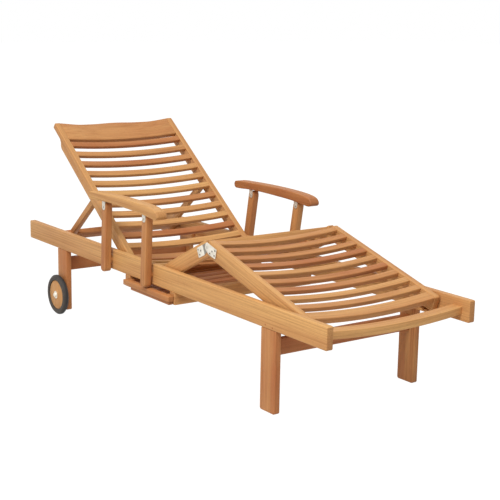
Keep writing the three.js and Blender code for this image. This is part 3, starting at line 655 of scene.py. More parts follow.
@dataclass
class Board(Form):
    """A board with its fibres along X, centred, and hollowed where it has a dip.

    Attributes:
        length: its length along X.
        width: its width along Y.
        thickness: its thickness along Z.
        dip: how far its middle lies under its ends.
        tail_radius: the rounding of the two corners at its low-X end, seen from above.
        nose_radius: the same at its high-X end.
        ease: the rounding of all its edges.
        corner_steps: how many faces a rounded corner has.
        bow_steps: how many lengths a hollowed board is cut into.
    """

    length: float
    width: float
    thickness: float
    dip: float = 0.0
    tail_radius: float = 0.0
    nose_radius: float = 0.0
    ease: float = 0.0025
    corner_steps: int = 7
    bow_steps: int = 28

    def draw(self, mesh: bmesh.types.BMesh) -> None:
        """Draws the board flat.

        Args:
            mesh: the empty mesh.
        """
        bmesh.ops.create_cube(mesh, size=1.0)
        bmesh.ops.scale(mesh, vec=(self.length, self.width, self.thickness), verts=mesh.verts)
        for end in End:
            radius = end.pick((self.tail_radius, self.nose_radius))
            if radius > 0:
                round_edges(mesh, self.corners(mesh, end), radius, self.corner_steps)
        ease_edges(mesh, self.ease)
        if self.dip:
            for step in range(1, self.bow_steps):
                x = self.length * (step / self.bow_steps - 0.5)
                geom = [*mesh.verts, *mesh.edges, *mesh.faces]
                bmesh.ops.bisect_plane(mesh, geom=geom, plane_co=(x, 0, 0), plane_no=(1, 0, 0))

    def corners(self, mesh: bmesh.types.BMesh, end: End) -> list[bmesh.types.BMEdge]:
        """Finds the two upright edges at one end.

        Args:
            mesh: the board so far.
            end: which end.

        Returns:
            The edges.
        """
        return [
            edge
            for edge in mesh.edges
            if all(v.co.x * end.value > 0 for v in edge.verts)
            and abs(edge.verts[0].co.z - edge.verts[1].co.z) > self.thickness / 2
        ]

    def bow(self, mesh: bmesh.types.BMesh) -> None:
        """Lowers the middle of the board into its hollow.

        Args:
            mesh: the drawn board.
        """
        if self.dip:
            for vertex in mesh.verts:
                share = min(1.0, abs(2 * vertex.co.x / self.length))
                vertex.co.z -= self.dip * (1 - share**2)


@dataclass
class Cutout(Form):
    """A flat outline in X and Z that is given a thickness across Y.

    Attributes:
        corners: X, Z and the rounding of each corner.
        thickness: the thickness across Y, centred.
        ease: the rounding of the remaining edges.
        corner_steps: how many faces a rounded corner has.
    """

    corners: Sequence[Triple]
    thickness: float
    ease: float = 0.0025
    corner_steps: int = 7

    def draw(self, mesh: bmesh.types.BMesh) -> None:
        """Draws the outline, extrudes it and rounds it.

        Args:
            mesh: the empty mesh.
        """
        low = -self.thickness / 2
        face = mesh.faces.new([mesh.verts.new((x, low, z)) for x, z, _ in self.corners])
        grown = bmesh.ops.extrude_face_region(mesh, geom=[face])
        moved = [v for v in grown["geom"] if isinstance(v, bmesh.types.BMVert)]
        bmesh.ops.translate(mesh, vec=(0, self.thickness, 0), verts=moved)
        bmesh.ops.recalc_face_normals(mesh, faces=mesh.faces)
        for x, z, radius in self.corners:
            if radius > 0:
                round_edges(mesh, self.edges_at(mesh, x, z), radius, self.corner_steps)
        ease_edges(mesh, self.ease)

    def edges_at(self, mesh: bmesh.types.BMesh, x: float, z: float) -> list[bmesh.types.BMEdge]:
        """Finds the edge across the thickness at one corner.

        Args:
            mesh: the cutout so far.
            x: the corner's X.
            z: the corner's Z.

        Returns:
            The edge, in a list.
        """
        return [
            edge
            for edge in mesh.edges
            if all(abs(v.co.x - x) < TOUCH and abs(v.co.z - z) < TOUCH for v in edge.verts)
        ]


@dataclass
class Turned(Form):
    """A piece turned on a lathe about Y, from its outline as radius and height.

    Attributes:
        outline: radius and Y of each corner, from the axis round to the axis, or closed.
        closed: whether the outline closes on itself, as a ring's does.
        ease: the rounding of its edges.
        steps: how many sides it has.
    """

    outline: Sequence[Pair]
    closed: bool = False
    ease: float = 0.0005
    steps: int = 48

    def draw(self, mesh: bmesh.types.BMesh) -> None:
        """Spins the outline about the axis and rounds its edges.

        Args:
            mesh: the empty mesh.
        """
        points = [mesh.verts.new((radius, y, 0)) for radius, y in self.outline]
        pairs = list(zip(points, points[1:]))
        if self.closed:
            pairs.append((points[-1], points[0]))
        edges = [mesh.edges.new(pair) for pair in pairs]
        bmesh.ops.spin(
            mesh,
            geom=[*points, *edges],
            cent=(0, 0, 0),
            axis=(0, 1, 0),
            angle=math.tau,
            steps=self.steps,
            use_merge=True,
        )
        bmesh.ops.remove_doubles(mesh, verts=mesh.verts, dist=TOUCH)
        bmesh.ops.recalc_face_normals(mesh, faces=mesh.faces)
        ease_edges(mesh, self.ease)


def rod_outline(radius: float, low: float, high: float) -> list[Pair]:
    """Gives the outline of a plain rod between two heights, for the lathe."""
    return [(0, low), (radius, low), (radius, high), (0, high)]


@dataclass
class Refined(Form):
    """A CAD node's own shape, merged and with its eased edges rounded.

    Attributes:
        node: the CAD node.
        ease: the rounding of its edges.
        weld: how near two of its points are that count as one.
        flat_angle: the angle under which two of its faces count as one.
    """

    node: str
    ease: float = 0.0008
    weld: float = 2e-6
    flat_angle: float = math.radians(0.5)

    def draw(self, mesh: bmesh.types.BMesh) -> None:
        """Copies the node's mesh, merges its triangles and rounds its edges.

        Args:
            mesh: the empty mesh.
        """
        mesh.from_mesh(frame["nodes"][self.node].data)
        bmesh.ops.remove_doubles(mesh, verts=mesh.verts, dist=self.weld)
        bmesh.ops.dissolve_limit(
            mesh, angle_limit=self.flat_angle, verts=mesh.verts, edges=mesh.edges
        )
        ease_edges(mesh, self.ease)


class Workshop:
    """Makes pieces from forms, dresses them and hangs them on the frame.

    Attributes:
        seed: the seed of the choice of boards.
        board_tones: the tones that picked boards range over.
        log_length: how far apart in the log two boards may be cut.
    """

    seed: int = 11
    board_tones: Pair = (0.05, 0.85)
    log_length: float = 9.0

    def __init__(self) -> None:
        """Prepares the finishes and the seeded choice of boards."""
        effects = Effects(HandlingWear().build(), FineMarks().build(), HardwoodFigure().build())
        self.finishes = {
            Slot.TEAK: Hardwood().build(effects),
            Slot.STAINLESS: SatinSteel().build(effects),
            Slot.RUBBER: WheelRubber().build(effects),
        }
        self.boards = random.Random(self.seed)

    def solid(
        self,
        form: Form,
        place: Matrix,
        grain: Matrix = Grain.ALONG.value,
        tone: float = 0.0,
    ) -> bpy.types.Mesh:
        """Makes one solid, with its grain and tone noted on its points.

        Args:
            form: the solid's form.
            place: the matrix from the form to the lounger.
            grain: the matrix from the form to a frame with the fibres along X.
            tone: how ruddy or dark it is.

        Returns:
            The mesh, in place.
        """
        mesh = bmesh.new()
        form.draw(mesh)
        layers = mesh.verts.layers
        grain_layer = layers.float_vector.new("grain")
        tone_layer = layers.float.new("tone")
        end_layer = layers.float.new("end_grain")
        origin = Vector([self.boards.uniform(0, self.log_length) for _ in range(3)])
        along = [(grain @ vertex.co).x for vertex in mesh.verts]
        low, high = min(along) + form.end_skin, max(along) - form.end_skin
        for vertex, x in zip(mesh.verts, along):
            vertex[grain_layer] = grain @ vertex.co + origin
            vertex[tone_layer] = tone
            vertex[end_layer] = 0.0 if low < x < high else 1.0
        form.bow(mesh)
        bmesh.ops.transform(mesh, matrix=place, verts=mesh.verts)
        data = bpy.data.meshes.new("solid")
        mesh.to_mesh(data)
        mesh.free()
        return data

    def assemble(self, name: str, solids: list[bpy.types.Mesh]) -> bpy.types.Object:
        """Joins solids into one object that sits at the origin.

        Args:
            name: the object's name.
            solids: the meshes, in place.

        Returns:
            The object.
        """
        whole = bmesh.new()
        for solid in solids:
            whole.from_mesh(solid)
            bpy.data.meshes.remove(solid)
        data = bpy.data.meshes.new(name)
        whole.to_mesh(data)
        whole.free()
        data.polygons.foreach_set("use_smooth", [True] * len(data.polygons))
        data.set_sharp_from_angle(angle=SHARP_ANGLE)
        made = bpy.data.objects.new(name, data)
        bpy.context.scene.collection.objects.link(made)
        return made

    def hang(
        self,
        name: str,
        solids: list[bpy.types.Mesh],
        body: str,
        slot: Slot,
        *nodes: str,
    ) -> None:
        """Makes a piece of solids, dresses it and lets it ride on its body.

        Args:
            name: the piece's name.
            solids: its meshes, in place.
            body: the body that it moves with.
            slot: the material slot of its finish.
            nodes: the CAD nodes that it stands for.
        """
        made = self.assemble(name, solids)
        made.data.materials.append(self.finishes[slot])
        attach(made, body)
        if nodes:
            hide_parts(*nodes)
        LOG.info("%s: %d faces, on %s", name, len(made.data.polygons), body)

    def timber(
        self,
        name: str,
        form: Form,
        place: Matrix,
        body: str,
        node: str,
        grain: Matrix = Grain.ALONG.value,
        tone: float | None = None,
    ) -> None:
        """Makes one wooden piece.

        Args:
            name: the piece's name.
            form: its form.
            place: the matrix from the form to the lounger.
            body: the body that it moves with.
            node: the CAD node that it stands for.
            grain: the matrix from the form to a frame with the fibres along X.
            tone: how ruddy it is, or None to pick a board.
        """
        picked = self.boards.uniform(*self.board_tones) if tone is None else tone
        self.hang(name, [self.solid(form, place, grain, picked)], body, Slot.TEAK, node)

    def refine(
        self,
        form: Refined,
        body: str,
        grain: Matrix = Grain.ALONG.value,
        tone: float | None = None,
    ) -> None:
        """Makes one wooden piece in the shape of the CAD node that it stands for.

        Args:
            form: its form.
            body: the body that it moves with.
            grain: the matrix from the lounger to a frame with the fibres along X.
            tone: how ruddy it is, or None to pick a board.
        """
        node = form.node
        self.timber(f"{node}_timber", form, STILL, body, node, grain=grain, tone=tone)


def slat_row(first: float, pitch: float, limit: float) -> list[float]:
    """Places the slats that fit between the first one and a limit.

    Args:
        first: the middle of the first slat.
        pitch: the distance between slats.
        limit: what the last slat stays short of.

    Returns:
        The middles of the slats.
    """
    count = int((limit - SIZES.slat_width / 2 - first) / pitch) + 1
    return [first + index * pitch for index in range(count)]


def hollow_board(
    width: float, span: float, thickness: float, top: float, x: float
) -> tuple[Board, Matrix]:
    """Draws a hollowed board across the lounger.

    Args:
        width: its width.
        span: its length across.
        thickness: its thickness.
        top: the height of its ends' upper edge.
        x: where its middle is.

    Returns:
        The board and the matrix that places it.
    """
    board = Board(span, width, thickness, dip=SIZES.slat_dip)
    place = Matrix.Translation((x, 0, top - thickness / 2)) @ Grain.ACROSS.value
    return board, place


def hollow_slat(top: float, x: float) -> tuple[Board, Matrix]:
    """Draws a slat between two stiles, by the height of its ends and where its middle is."""
    return hollow_board(SIZES.slat_width, SIZES.slat_span, SIZES.slat_thickness, top, x)


@dataclass
class SubAssembly:
    """A sub-assembly, whose fields are its sizes and tones and whose methods build it.

    A pair of tones is for the right and the left side, or for the rear and the front end.

    Attributes:
        shop: the workshop that makes its pieces.
    """

    shop: Workshop


@dataclass
class FixedFrame(SubAssembly):
    """The rails, legs, stretchers, seat and crossbar that don't move."""

    rail_corner: float = 0.006
    rail_tones: Pair = (0.2, 0.3)
    leg_corner: float = 0.008
    leg_tones: Pair = (0.85, 0.68)
    # Past 1, the stretchers' tone paints the shade that falls on them under the seat.
    stretcher_tone: float = 1.3
    crossbar_tone: float = 0.12
    peg_radius: float = 0.0032
    peg_proud: float = 0.0004
    peg_length: float = 0.006
    peg_steps: int = 16
    # The pegs' tone is partly their own darker end grain and partly painted shade in the gap round them.
    peg_tone: float = 1.6
    peg_shares: tuple[Pair, ...] = ((-0.22, 0.15), (0.25, 0.11))

    def build(self) -> None:
        """Builds every fixed wooden piece."""
        for side in Side:
            self.build_rail(side)
            self.build_pegs(side)
            for end in End:
                self.build_leg(side, end)
            for rack in ("prop_rack", "foot_rack"):
                self.shop.refine(Refined(f"{rack}_{side.word}"), "frame")
        for end in End:
            self.build_stretcher(end)
        self.build_seat()

    def build_rail(self, side: Side) -> None:
        """Builds one side rail, on edge.

        Args:
            side: the rail's side.
        """
        node = f"side_rail_{side.word}"
        middle, size = middle_and_size(node)
        corner = self.rail_corner
        board = Board(size.x, size.z, size.y, tail_radius=corner, nose_radius=corner)
        place = Matrix.Translation(middle) @ Grain.ON_EDGE.value
        tone = side.pick(self.rail_tones)
        self.shop.timber(f"{node}_timber", board, place, "frame", node, tone=tone)

    def build_leg(self, side: Side, end: End) -> None:
        """Builds one leg below the rail, its foot corners rounded.

        Args:
            side: the leg's side.
            end: the leg's end.
        """
        node = f"{end.word}_leg_{side.word}"
        middle, size = middle_and_size(node)
        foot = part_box(node)[0].z
        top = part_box(f"side_rail_{side.word}")[0].z - SIZES.glue_gap
        middle.z = (foot + top) / 2
        board = Board(top - foot, size.x, size.y, tail_radius=self.leg_corner)
        place = Matrix.Translation(middle) @ Grain.UPRIGHT.value @ Grain.ON_EDGE.value
        tone = end.pick(self.leg_tones)
        self.shop.timber(f"{node}_timber", board, place, "frame", node, tone=tone)

    def build_stretcher(self, end: End) -> None:
        """Builds the stretcher between a pair of legs.

        Args:
            end: the legs' end.
        """
        node = f"{end.word}_stretcher"
        middle, size = middle_and_size(node)
        middle.y = 0
        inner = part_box(f"{end.word}_leg_left")[0].y
        board = Board(2 * inner, size.z, size.x)
        place = Matrix.Translation(middle) @ Grain.ACROSS.value @ Grain.ON_EDGE.value
        self.shop.timber(f"{node}_timber", board, place, "frame", node, tone=self.stretcher_tone)

    def build_seat(self) -> None:
        """Builds the fixed seat boards and the foot crossbar, all hollowed."""
        span = 2 * (SIZES.rail_inner + SIZES.housing)
        for node in ("seat_board", "seat_slat_1", "seat_slat_2", "foot_crossbar"):
            middle, size = middle_and_size(node)
            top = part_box(node)[1].z
            thickness = size.z - SIZES.slat_dip
            board, place = hollow_board(size.x, span, thickness, top, middle.x)
            tone = self.crossbar_tone if node == "foot_crossbar" else None
            self.shop.timber(f"{node}_timber", board, place, "frame", node, tone=tone)

    def build_pegs(self, side: Side) -> None:
        """Builds the two small pegs that lock a front leg's tenon in the rail.

        Args:
            side: the leg's side.
        """
        leg = f"front_leg_{side.word}"
        middle, size = middle_and_size(leg)
        rail_low, rail_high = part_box(f"side_rail_{side.word}")
        y = side.value * (outer_face(leg) + self.peg_proud)
        form = Turned(rod_outline(self.peg_radius, -self.peg_length, 0), steps=self.peg_steps)
        solids = []
        for share_x, share_z in self.peg_shares:
            x = middle.x + share_x * size.x
            z = rail_low.z + share_z * (rail_high.z - rail_low.z)
            place = Matrix.Translation((x, y, z)) @ side.outward
            solids.append(self.shop.solid(form, place, tone=self.peg_tone))
        self.shop.hang(f"leg_pegs_{side.word}", solids, "frame", Slot.TEAK)


@dataclass
class Back(SubAssembly):
    """The reclining back: two stiles, eleven hollowed slats and the wavy headrail."""

    angle: float = math.radians(36)
    stile_depth: float = 0.05
    stile_length: float = 0.741
    stile_tones: Pair = (0.18, 0.3)
    first_slat: float = 0.043
    headrail_width: float = 0.096
    headrail_inset: float = 0.003
    headrail_tone: float = 0.75
    slat_clearance: float = 0.004

    def build(self) -> None:
        """Builds the stiles, slats and headrail, in a flat frame with the head at negative X."""
        panel = Panel(joint_place("back_recline"), self.angle)
        flat = panel.place.inverted()
        for side in Side:
            form = Refined(f"back_stile_{side.word}")
            self.shop.refine(form, "back", grain=flat, tone=side.pick(self.stile_tones))
        across = Grain.ACROSS.back @ flat
        self.shop.refine(Refined("headrail"), "back", grain=across, tone=self.headrail_tone)
        top = self.stile_depth / 2 - SIZES.slat_inset
        limit = self.stile_length - self.headrail_inset - self.headrail_width - self.slat_clearance
        for index, along in enumerate(slat_row(self.first_slat, SIZES.slat_pitch, limit), start=1):
            node = f"back_slat_{index:02d}"
            board, place = hollow_slat(top, -along)
            self.shop.timber(f"{node}_timber", board, panel.place @ place, "back", node)


@dataclass
class Prop(SubAssembly):
    """The frame that holds the back up: two arms and the bar between their feet."""

    turn: float = math.radians(-40.17)
    length: float = 0.3091
    arm_depth: float = 0.024
    arm_thickness: float = 0.022
    arm_side_gap: float = 0.003
    arm_tone: float = 0.35
    bar_width: float = 0.045
    bar_thickness: float = 0.022
    bar_end_gap: float = 0.003
    bar_tone: float = 0.6
    dowel_radius: float = 0.005
    dowel_steps: int = 24
    dowel_tone: float = 0.5

    def build(self) -> None:
        """Builds the arms with their dowels, and the bar."""
        place = Panel(joint_place("prop_swing"), self.turn).place
        for side in Side:
            self.build_arm(side, place)
        span = 2 * (SIZES.rail_inner - self.bar_end_gap)
        bar = Board(span, self.bar_width, self.bar_thickness)
        foot = place @ Matrix.Translation((-self.length, 0, 0)) @ Grain.ACROSS.value
        self.shop.timber("prop_bar", bar, foot, "prop", "prop_frame", tone=self.bar_tone)

    def build_arm(self, side: Side, place: Matrix) -> None:
        """Builds one arm and the dowel that it swings on.

        Args:
            side: the arm's side.
            place: the matrix from the prop's flat frame to the lounger.
        """
        length = self.length - self.bar_thickness / 2 + self.arm_depth / 2
        nose = self.arm_depth / 2 - SIZES.glue_gap
        board = Board(length, self.arm_depth, self.arm_thickness, nose_radius=nose)
        arm_y = SIZES.stile_inner - self.arm_side_gap - self.arm_thickness / 2
        pivot = place @ Matrix.Translation((0, side.value * arm_y, 0))
        middle = Matrix.Translation((self.arm_depth / 2 - length / 2, 0, 0))
        arm = self.shop.solid(board, pivot @ middle @ Grain.ON_EDGE.value, tone=self.arm_tone)
        reach = self.arm_thickness / 2 + self.arm_side_gap + SIZES.housing
        form = Turned(rod_outline(self.dowel_radius, 0, reach), steps=self.dowel_steps)
        dowel = self.shop.solid(form, pivot @ side.outward, Grain.ACROSS.value, self.dowel_tone)
        name = f"prop_arm_{side.word}"
        self.shop.hang(name, [arm, dowel], "prop", Slot.TEAK, "prop_frame")


@dataclass
class KneePanels(SubAssembly):
    """The thigh panel and the leg panel with the steel hinges between them.

    The corners of the plates are X and Z from the knee and a rounding, and the screws' places
    are X and Z from the knee. Both are in the flat frame of the panel that carries them.
    """

    thigh_first: float = 0.0365
    thigh_clearance: float = 0.006
    thigh_stile_tone: float = 0.3
    knee_rail_width: float = 0.041
    knee_rail_thickness: float = 0.02
    knee_rail_inset: float = 0.008
    knee_rail_tone: float = 0.35
    leg_first: float = 0.019
    leg_pitch: float = 0.0572
    leg_clearance: float = 0.006
    leg_stile_tone: float = 0.14
    toe_width: float = 0.043
    toe_thickness: float = 0.02
    toe_inset: float = 0.001
    toe_gap: float = 0.0015
    toe_radius: float = 0.007
    toe_tone: float = 0.3
    knee_gap: float = 0.0005
    knee_mitre: float = math.radians(22.5)
    plate_thickness: float = 0.0012
    plate_gap: float = 0.0003
    plate_ease: float = 0.0003
    thigh_plate: tuple[Triple, ...] = (
        (-0.066, -0.0165, 0.003),
        (-0.026, -0.018, 0.003),
        (-0.024, 0.018, 0.004),
        (-0.064, 0.018, 0.003),
    )
    thigh_screws: tuple[Pair, ...] = ((-0.0575, 0.0105), (-0.0435, 0.003), (-0.0545, -0.0085))
    knuckle: tuple[Triple, ...] = (
        (-0.027, -0.0165, 0.002),
        (0.004, -0.01, 0.004),
        (0.004, 0.0175, 0.004),
        (-0.025, 0.0175, 0.002),
    )
    knuckle_thickness_share: float = 0.8
    # The knuckle strip's tone paints the shade in the gap between the plates and the mitred stile ends.
    knuckle_tone: float = 0.7
    leg_plate: tuple[Triple, ...] = (
        (-0.0115, -0.007, 0.008),
        (0.0135, -0.018, 0.004),
        (0.056, -0.0165, 0.003),
        (0.0545, 0.018, 0.003),
        (-0.0115, 0.018, 0.01),
    )
    leg_screws: tuple[Pair, ...] = (
        (0.0318, 0.0014),
        (0.0472, 0.0104),
        (0.0476, -0.0073),
        (0.0208, -0.0115),
    )
    screw_radius: float = 0.0031
    # The screw heads' tone paints the shade in their recesses.
    screw_tone: float = 0.95
    rivet_radius: float = 0.0052
    rivet_tone: float = 0.3
    head_rise: float = 0.0007
    head_ease: float = 0.0001
    head_steps: int = 24
    head_shares: tuple[Pair, ...] = (
        (0, 0.2),
        (0.45, 0.35),
        (0.585, 1),
        (0.8, 1),
        (1, 0.3),
        (1, -1),
        (0, -1),
    )

    @property
    def thigh(self) -> Panel:
        """The thigh panel's flat frame, whose knee is at positive X."""
        reach = joint_place("knee_bend") - joint_place("thigh_lift")
        return Panel(joint_place("thigh_lift"), -math.atan2(reach.z, reach.x))

    @property
    def thigh_length(self) -> float:
        """The distance from the thigh hinge to the knee."""
        return (joint_place("knee_bend") - joint_place("thigh_lift")).length

    @property
    def leg(self) -> Panel:
        """The leg panel's flat frame, whose toes are at positive X."""
        lift = -self.thigh.turn
        return Panel(joint_place("knee_bend"), lift * (coupling_ratio("knee_bend") - 1))

    @property
    def leg_length(self) -> float:
        """The leg panel's length, which ends just before the crossbar when flat."""
        flat_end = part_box("foot_crossbar")[0].x - self.toe_gap
        return flat_end - joint_place("thigh_lift").x - self.thigh_length

    def build(self) -> None:
        """Builds both panels and their hinges."""
        self.build_stiles()
        self.build_thigh_boards()
        self.build_leg_boards()
        for side in Side:
            self.build_hinge(side)

    def build_stiles(self) -> None:
        """Builds the four stiles, mitred where they meet at the knee."""
        face = SIZES.seat_stile_depth / 2
        cut = face * math.tan(self.knee_mitre)
        end = self.thigh_length - self.knee_gap
        round_end = face - SIZES.glue_gap
        thigh_corners = [
            (-face, -face, round_end),
            (end - cut, -face, 0),
            (end, 0, 0),
            (end, face, 0),
            (-face, face, round_end),
        ]
        leg_corners = [
            (self.knee_gap + cut, -face, 0),
            (self.leg_length, -face, 0),
            (self.leg_length, face, self.toe_radius),
            (self.knee_gap, face, 0),
            (self.knee_gap, 0, 0),
        ]
        grain = Grain.ON_EDGE.back
        for side in Side:
            across = Matrix.Translation((0, side.value * SIZES.stile_middle, 0))
            for word, corners, panel, tone in (
                ("thigh", thigh_corners, self.thigh, self.thigh_stile_tone),
                ("leg", leg_corners, self.leg, self.leg_stile_tone),
            ):
                form = Cutout(corners, SIZES.stile_thickness)
                name = f"{word}_stile_{side.word}"
                place = panel.place @ across
                self.shop.timber(name, form, place, word, f"{word}_panel", grain, tone)

    def build_slats(self, word: str, panel: Panel, places: list[float]) -> None:
        """Builds the hollowed slats of one panel.

        Args:
            word: thigh or leg.
            panel: the panel's flat frame.
            places: the middles of the slats.
        """
        for index, along in enumerate(places, start=1):
            board, place = hollow_slat(SIZES.seat_slat_top, along)
            name = f"{word}_slat_{index}"
            self.shop.timber(name, board, panel.place @ place, word, f"{word}_panel")

    def build_thigh_boards(self) -> None:
        """Builds the thigh panel's slats and the straight rail at the knee."""
        rail_x = self.thigh_length - self.knee_rail_inset - self.knee_rail_width / 2
        limit = rail_x - self.knee_rail_width / 2 - self.thigh_clearance
        self.build_slats("thigh", self.thigh, slat_row(self.thigh_first, SIZES.slat_pitch, limit))
        rail = Board(SIZES.slat_span, self.knee_rail_width, self.knee_rail_thickness)
        spot = (rail_x, 0, SIZES.seat_slat_top - self.knee_rail_thickness / 2)
        place = self.thigh.place @ Matrix.Translation(spot) @ Grain.ACROSS.value
        self.shop.timber("knee_rail", rail, place, "thigh", "thigh_panel", tone=self.knee_rail_tone)

    def build_leg_boards(self) -> None:
        """Builds the leg panel's slats and the wider board at the toes."""
        toe_x = self.leg_length - self.toe_inset - self.toe_width / 2
        limit = toe_x - self.toe_width / 2 - self.leg_clearance
        self.build_slats("leg", self.leg, slat_row(self.leg_first, self.leg_pitch, limit))
        board, place = hollow_board(
            self.toe_width, SIZES.slat_span, self.toe_thickness, SIZES.seat_slat_top, toe_x
        )
        full = self.leg.place @ place
        self.shop.timber("toe_bar", board, full, "leg", "leg_panel", tone=self.toe_tone)

    def build_hinge(self, side: Side) -> None:
        """Builds one knee's two lapped plates with their screws, knuckle strip and rivet.

        Args:
            side: the knee's side.
        """
        inner = SIZES.stile_outer + SIZES.glue_gap
        outer = inner + self.plate_thickness + self.plate_gap
        knee = self.thigh.place @ Matrix.Translation((self.thigh_length, 0, 0))
        solids, level, _ = self.build_plate(side, knee, inner, self.thigh_plate, self.thigh_screws)
        thickness = self.knuckle_thickness_share * self.plate_thickness
        strip = Cutout(self.knuckle, thickness, ease=self.plate_ease)
        solids.append(self.shop.solid(strip, level, tone=self.knuckle_tone))
        self.hang_plate("thigh", side, solids)
        leg = self.leg.place
        solids, _, face = self.build_plate(side, leg, outer, self.leg_plate, self.leg_screws)
        solids.append(self.head(side, leg, (0, face, 0), self.rivet_radius, self.rivet_tone))
        self.hang_plate("leg", side, solids)

    def build_plate(
        self,
        side: Side,
        place: Matrix,
        layer: float,
        corners: Sequence[Triple],
        screws: Sequence[Pair],
    ) -> tuple[list[bpy.types.Mesh], Matrix, float]:
        """Builds one plate and its screws.

        Args:
            side: the knee's side.
            place: the matrix from the knee, in the panel's flat frame, to the lounger.
            layer: how far the plate's inner face is from the middle.
            corners: the plate's corners.
            screws: the screws' places.

        Returns:
            The solids, the matrix that places the plate, and the Y of its outer face.
        """
        middle = side.value * (layer + self.plate_thickness / 2)
        face = side.value * (layer + self.plate_thickness)
        level = place @ Matrix.Translation((0, middle, 0))
        solids = [self.shop.solid(Cutout(corners, self.plate_thickness, self.plate_ease), level)]
        for x, z in screws:
            spot = (x, face, z)
            solids.append(self.head(side, place, spot, self.screw_radius, self.screw_tone))
        return solids, level, face

    def head(
        self, side: Side, place: Matrix, spot: Triple, radius: float, tone: float
    ) -> bpy.types.Mesh:
        """Turns the dimpled head of a screw or rivet, facing out from the stile.

        Args:
            side: the knee's side.
            place: the matrix from the knee, in the panel's flat frame, to the lounger.
            spot: where the head sits on its plate.
            radius: its radius.
            tone: how dark it is.

        Returns:
            The mesh, in place.
        """
        outline = [(radius * out, self.head_rise * up) for out, up in self.head_shares]
        form = Turned(outline, ease=self.head_ease, steps=self.head_steps)
        return self.shop.solid(form, place @ Matrix.Translation(spot) @ side.outward, tone=tone)

    def hang_plate(self, word: str, side: Side, solids: list[bpy.types.Mesh]) -> None:
        """Hangs one plate with what it carries on its panel."""
        node = f"knee_plate_{word}_{side.word}"
        self.shop.hang(f"{node}_steel", solids, word, Slot.STAINLESS, node)


@dataclass
class Armrest(SubAssembly):
    """One armrest: its board, two posts with spacer collars, and two steel brackets."""

    side: Side
    board_ease: float = 0.0011
    board_end_skin: float = 0.012
    board_tones: Pair = (0.12, 1.0)
    post_width: float = 0.034
    post_thickness: float = 0.027
    post_tones: Pair = (0.5, 0.8)
    foot_length: float = 0.044
    foot_radius: float = 0.014
    collar_radius: float = 0.013
    collar_ease: float = 0.001
    collar_tone: float = 0.6
    bracket_width: float = 0.022
    bracket_thickness: float = 0.0015
    bracket_corner_share: float = 0.97
    bracket_ease: float = 0.0004
    bracket_rise: float = 0.0238
    bracket_tone: float = 0.16
    cheek_gap: float = 0.0003
    rivet_radius: float = 0.0048
    rivet_steps: int = 24
    rivet_tone: float = 0.5
    rivet_shares: tuple[Pair, ...] = ((0, 0.4), (0.6, 0.32), (1, 0), (0, 0))

    def build(self) -> None:
        """Builds the board, the posts and the brackets."""
        word = self.side.word
        board = Refined(f"arm_board_{word}", ease=self.board_ease, end_skin=self.board_end_skin)
        self.shop.refine(board, f"armrest_{word}", tone=self.side.pick(self.board_tones))
        reach = joint_place(f"arm_level_{word}") - joint_place(f"arm_fold_{word}")
        for end, joint in ((End.REAR, f"arm_rear_{word}"), (End.FRONT, f"arm_fold_{word}")):
            foot = joint_place(joint)
            self.build_post(end, foot, reach)
            self.build_bracket(end, foot + reach)

    def build_post(self, end: End, foot: Vector, reach: Vector) -> None:
        """Builds one post round its lower pivot, with the collar that spaces it off the rail.

        Args:
            end: the post's end of the armrest.
            foot: the lower pivot.
            reach: the way from the lower pivot to the upper one.
        """
        word = self.side.word
        length = self.foot_length + reach.length + self.post_width / 2
        nose = self.post_width / 2 - SIZES.glue_gap
        board = Board(
            length,
            self.post_width,
            self.post_thickness,
            tail_radius=self.foot_radius,
            nose_radius=nose,
        )
        upright = Matrix.Rotation(math.atan2(reach.x, reach.z) - math.pi / 2, 4, "Y")
        along = Matrix.Translation((length / 2 - self.foot_length, 0, 0))
        place = Matrix.Translation(foot) @ upright @ along @ Grain.ON_EDGE.value
        post = self.shop.solid(board, place, tone=self.shop.boards.uniform(*self.post_tones))
        gap = abs(foot.y) - outer_face(f"side_rail_{word}") - SIZES.glue_gap
        spacer = Turned(rod_outline(self.collar_radius, -gap, 0), ease=self.collar_ease)
        place = Matrix.Translation(foot) @ self.side.outward
        collar = self.shop.solid(spacer, place, Grain.ACROSS.value, self.collar_tone)
        node = f"arm_post_{end.word}_{word}"
        body = f"{end.word}_post_{word}"
        self.shop.hang(f"{node}_timber", [post, collar], body, Slot.TEAK, node)

    def build_bracket(self, end: End, pivot: Vector) -> None:
        """Builds one U bracket: its two cheeks with the rivet's heads, and its bridge.

        Args:
            end: the bracket's end of the armrest.
            pivot: the upper pivot.
        """
        thickness = self.bracket_thickness
        outer = self.post_thickness / 2 + self.cheek_gap + thickness
        half = self.bracket_width / 2
        corner = half * self.bracket_corner_share
        corners = [
            (-half, -half, corner),
            (half, -half, corner),
            (half, self.bracket_rise, 0),
            (-half, self.bracket_rise, 0),
        ]
        cheek = Cutout(corners, thickness, ease=self.bracket_ease)
        dome = [(self.rivet_radius * out, self.rivet_radius * up) for out, up in self.rivet_shares]
        head = Turned(dome, ease=self.bracket_ease, steps=self.rivet_steps)
        solids = []
        for face in Side:
            middle = Vector((0, face.value * (outer - thickness / 2), 0))
            place = Matrix.Translation(pivot + middle)
            solids.append(self.shop.solid(cheek, place, tone=self.bracket_tone))
            spot = pivot + Vector((0, face.value * outer, 0))
            place = Matrix.Translation(spot) @ face.outward
            solids.append(self.shop.solid(head, place, tone=self.rivet_tone))
        bridge = Board(self.bracket_width, 2 * outer, thickness, ease=self.bracket_ease)
        top = Vector((0, 0, self.bracket_rise - thickness / 2))
        solids.append(self.shop.solid(bridge, Matrix.Translation(pivot + top)))
        word = self.side.word
        node = f"arm_bracket_{end.word}_{word}"
        self.shop.hang(f"{node}_steel", solids, f"armrest_{word}", Slot.STAINLESS, node)


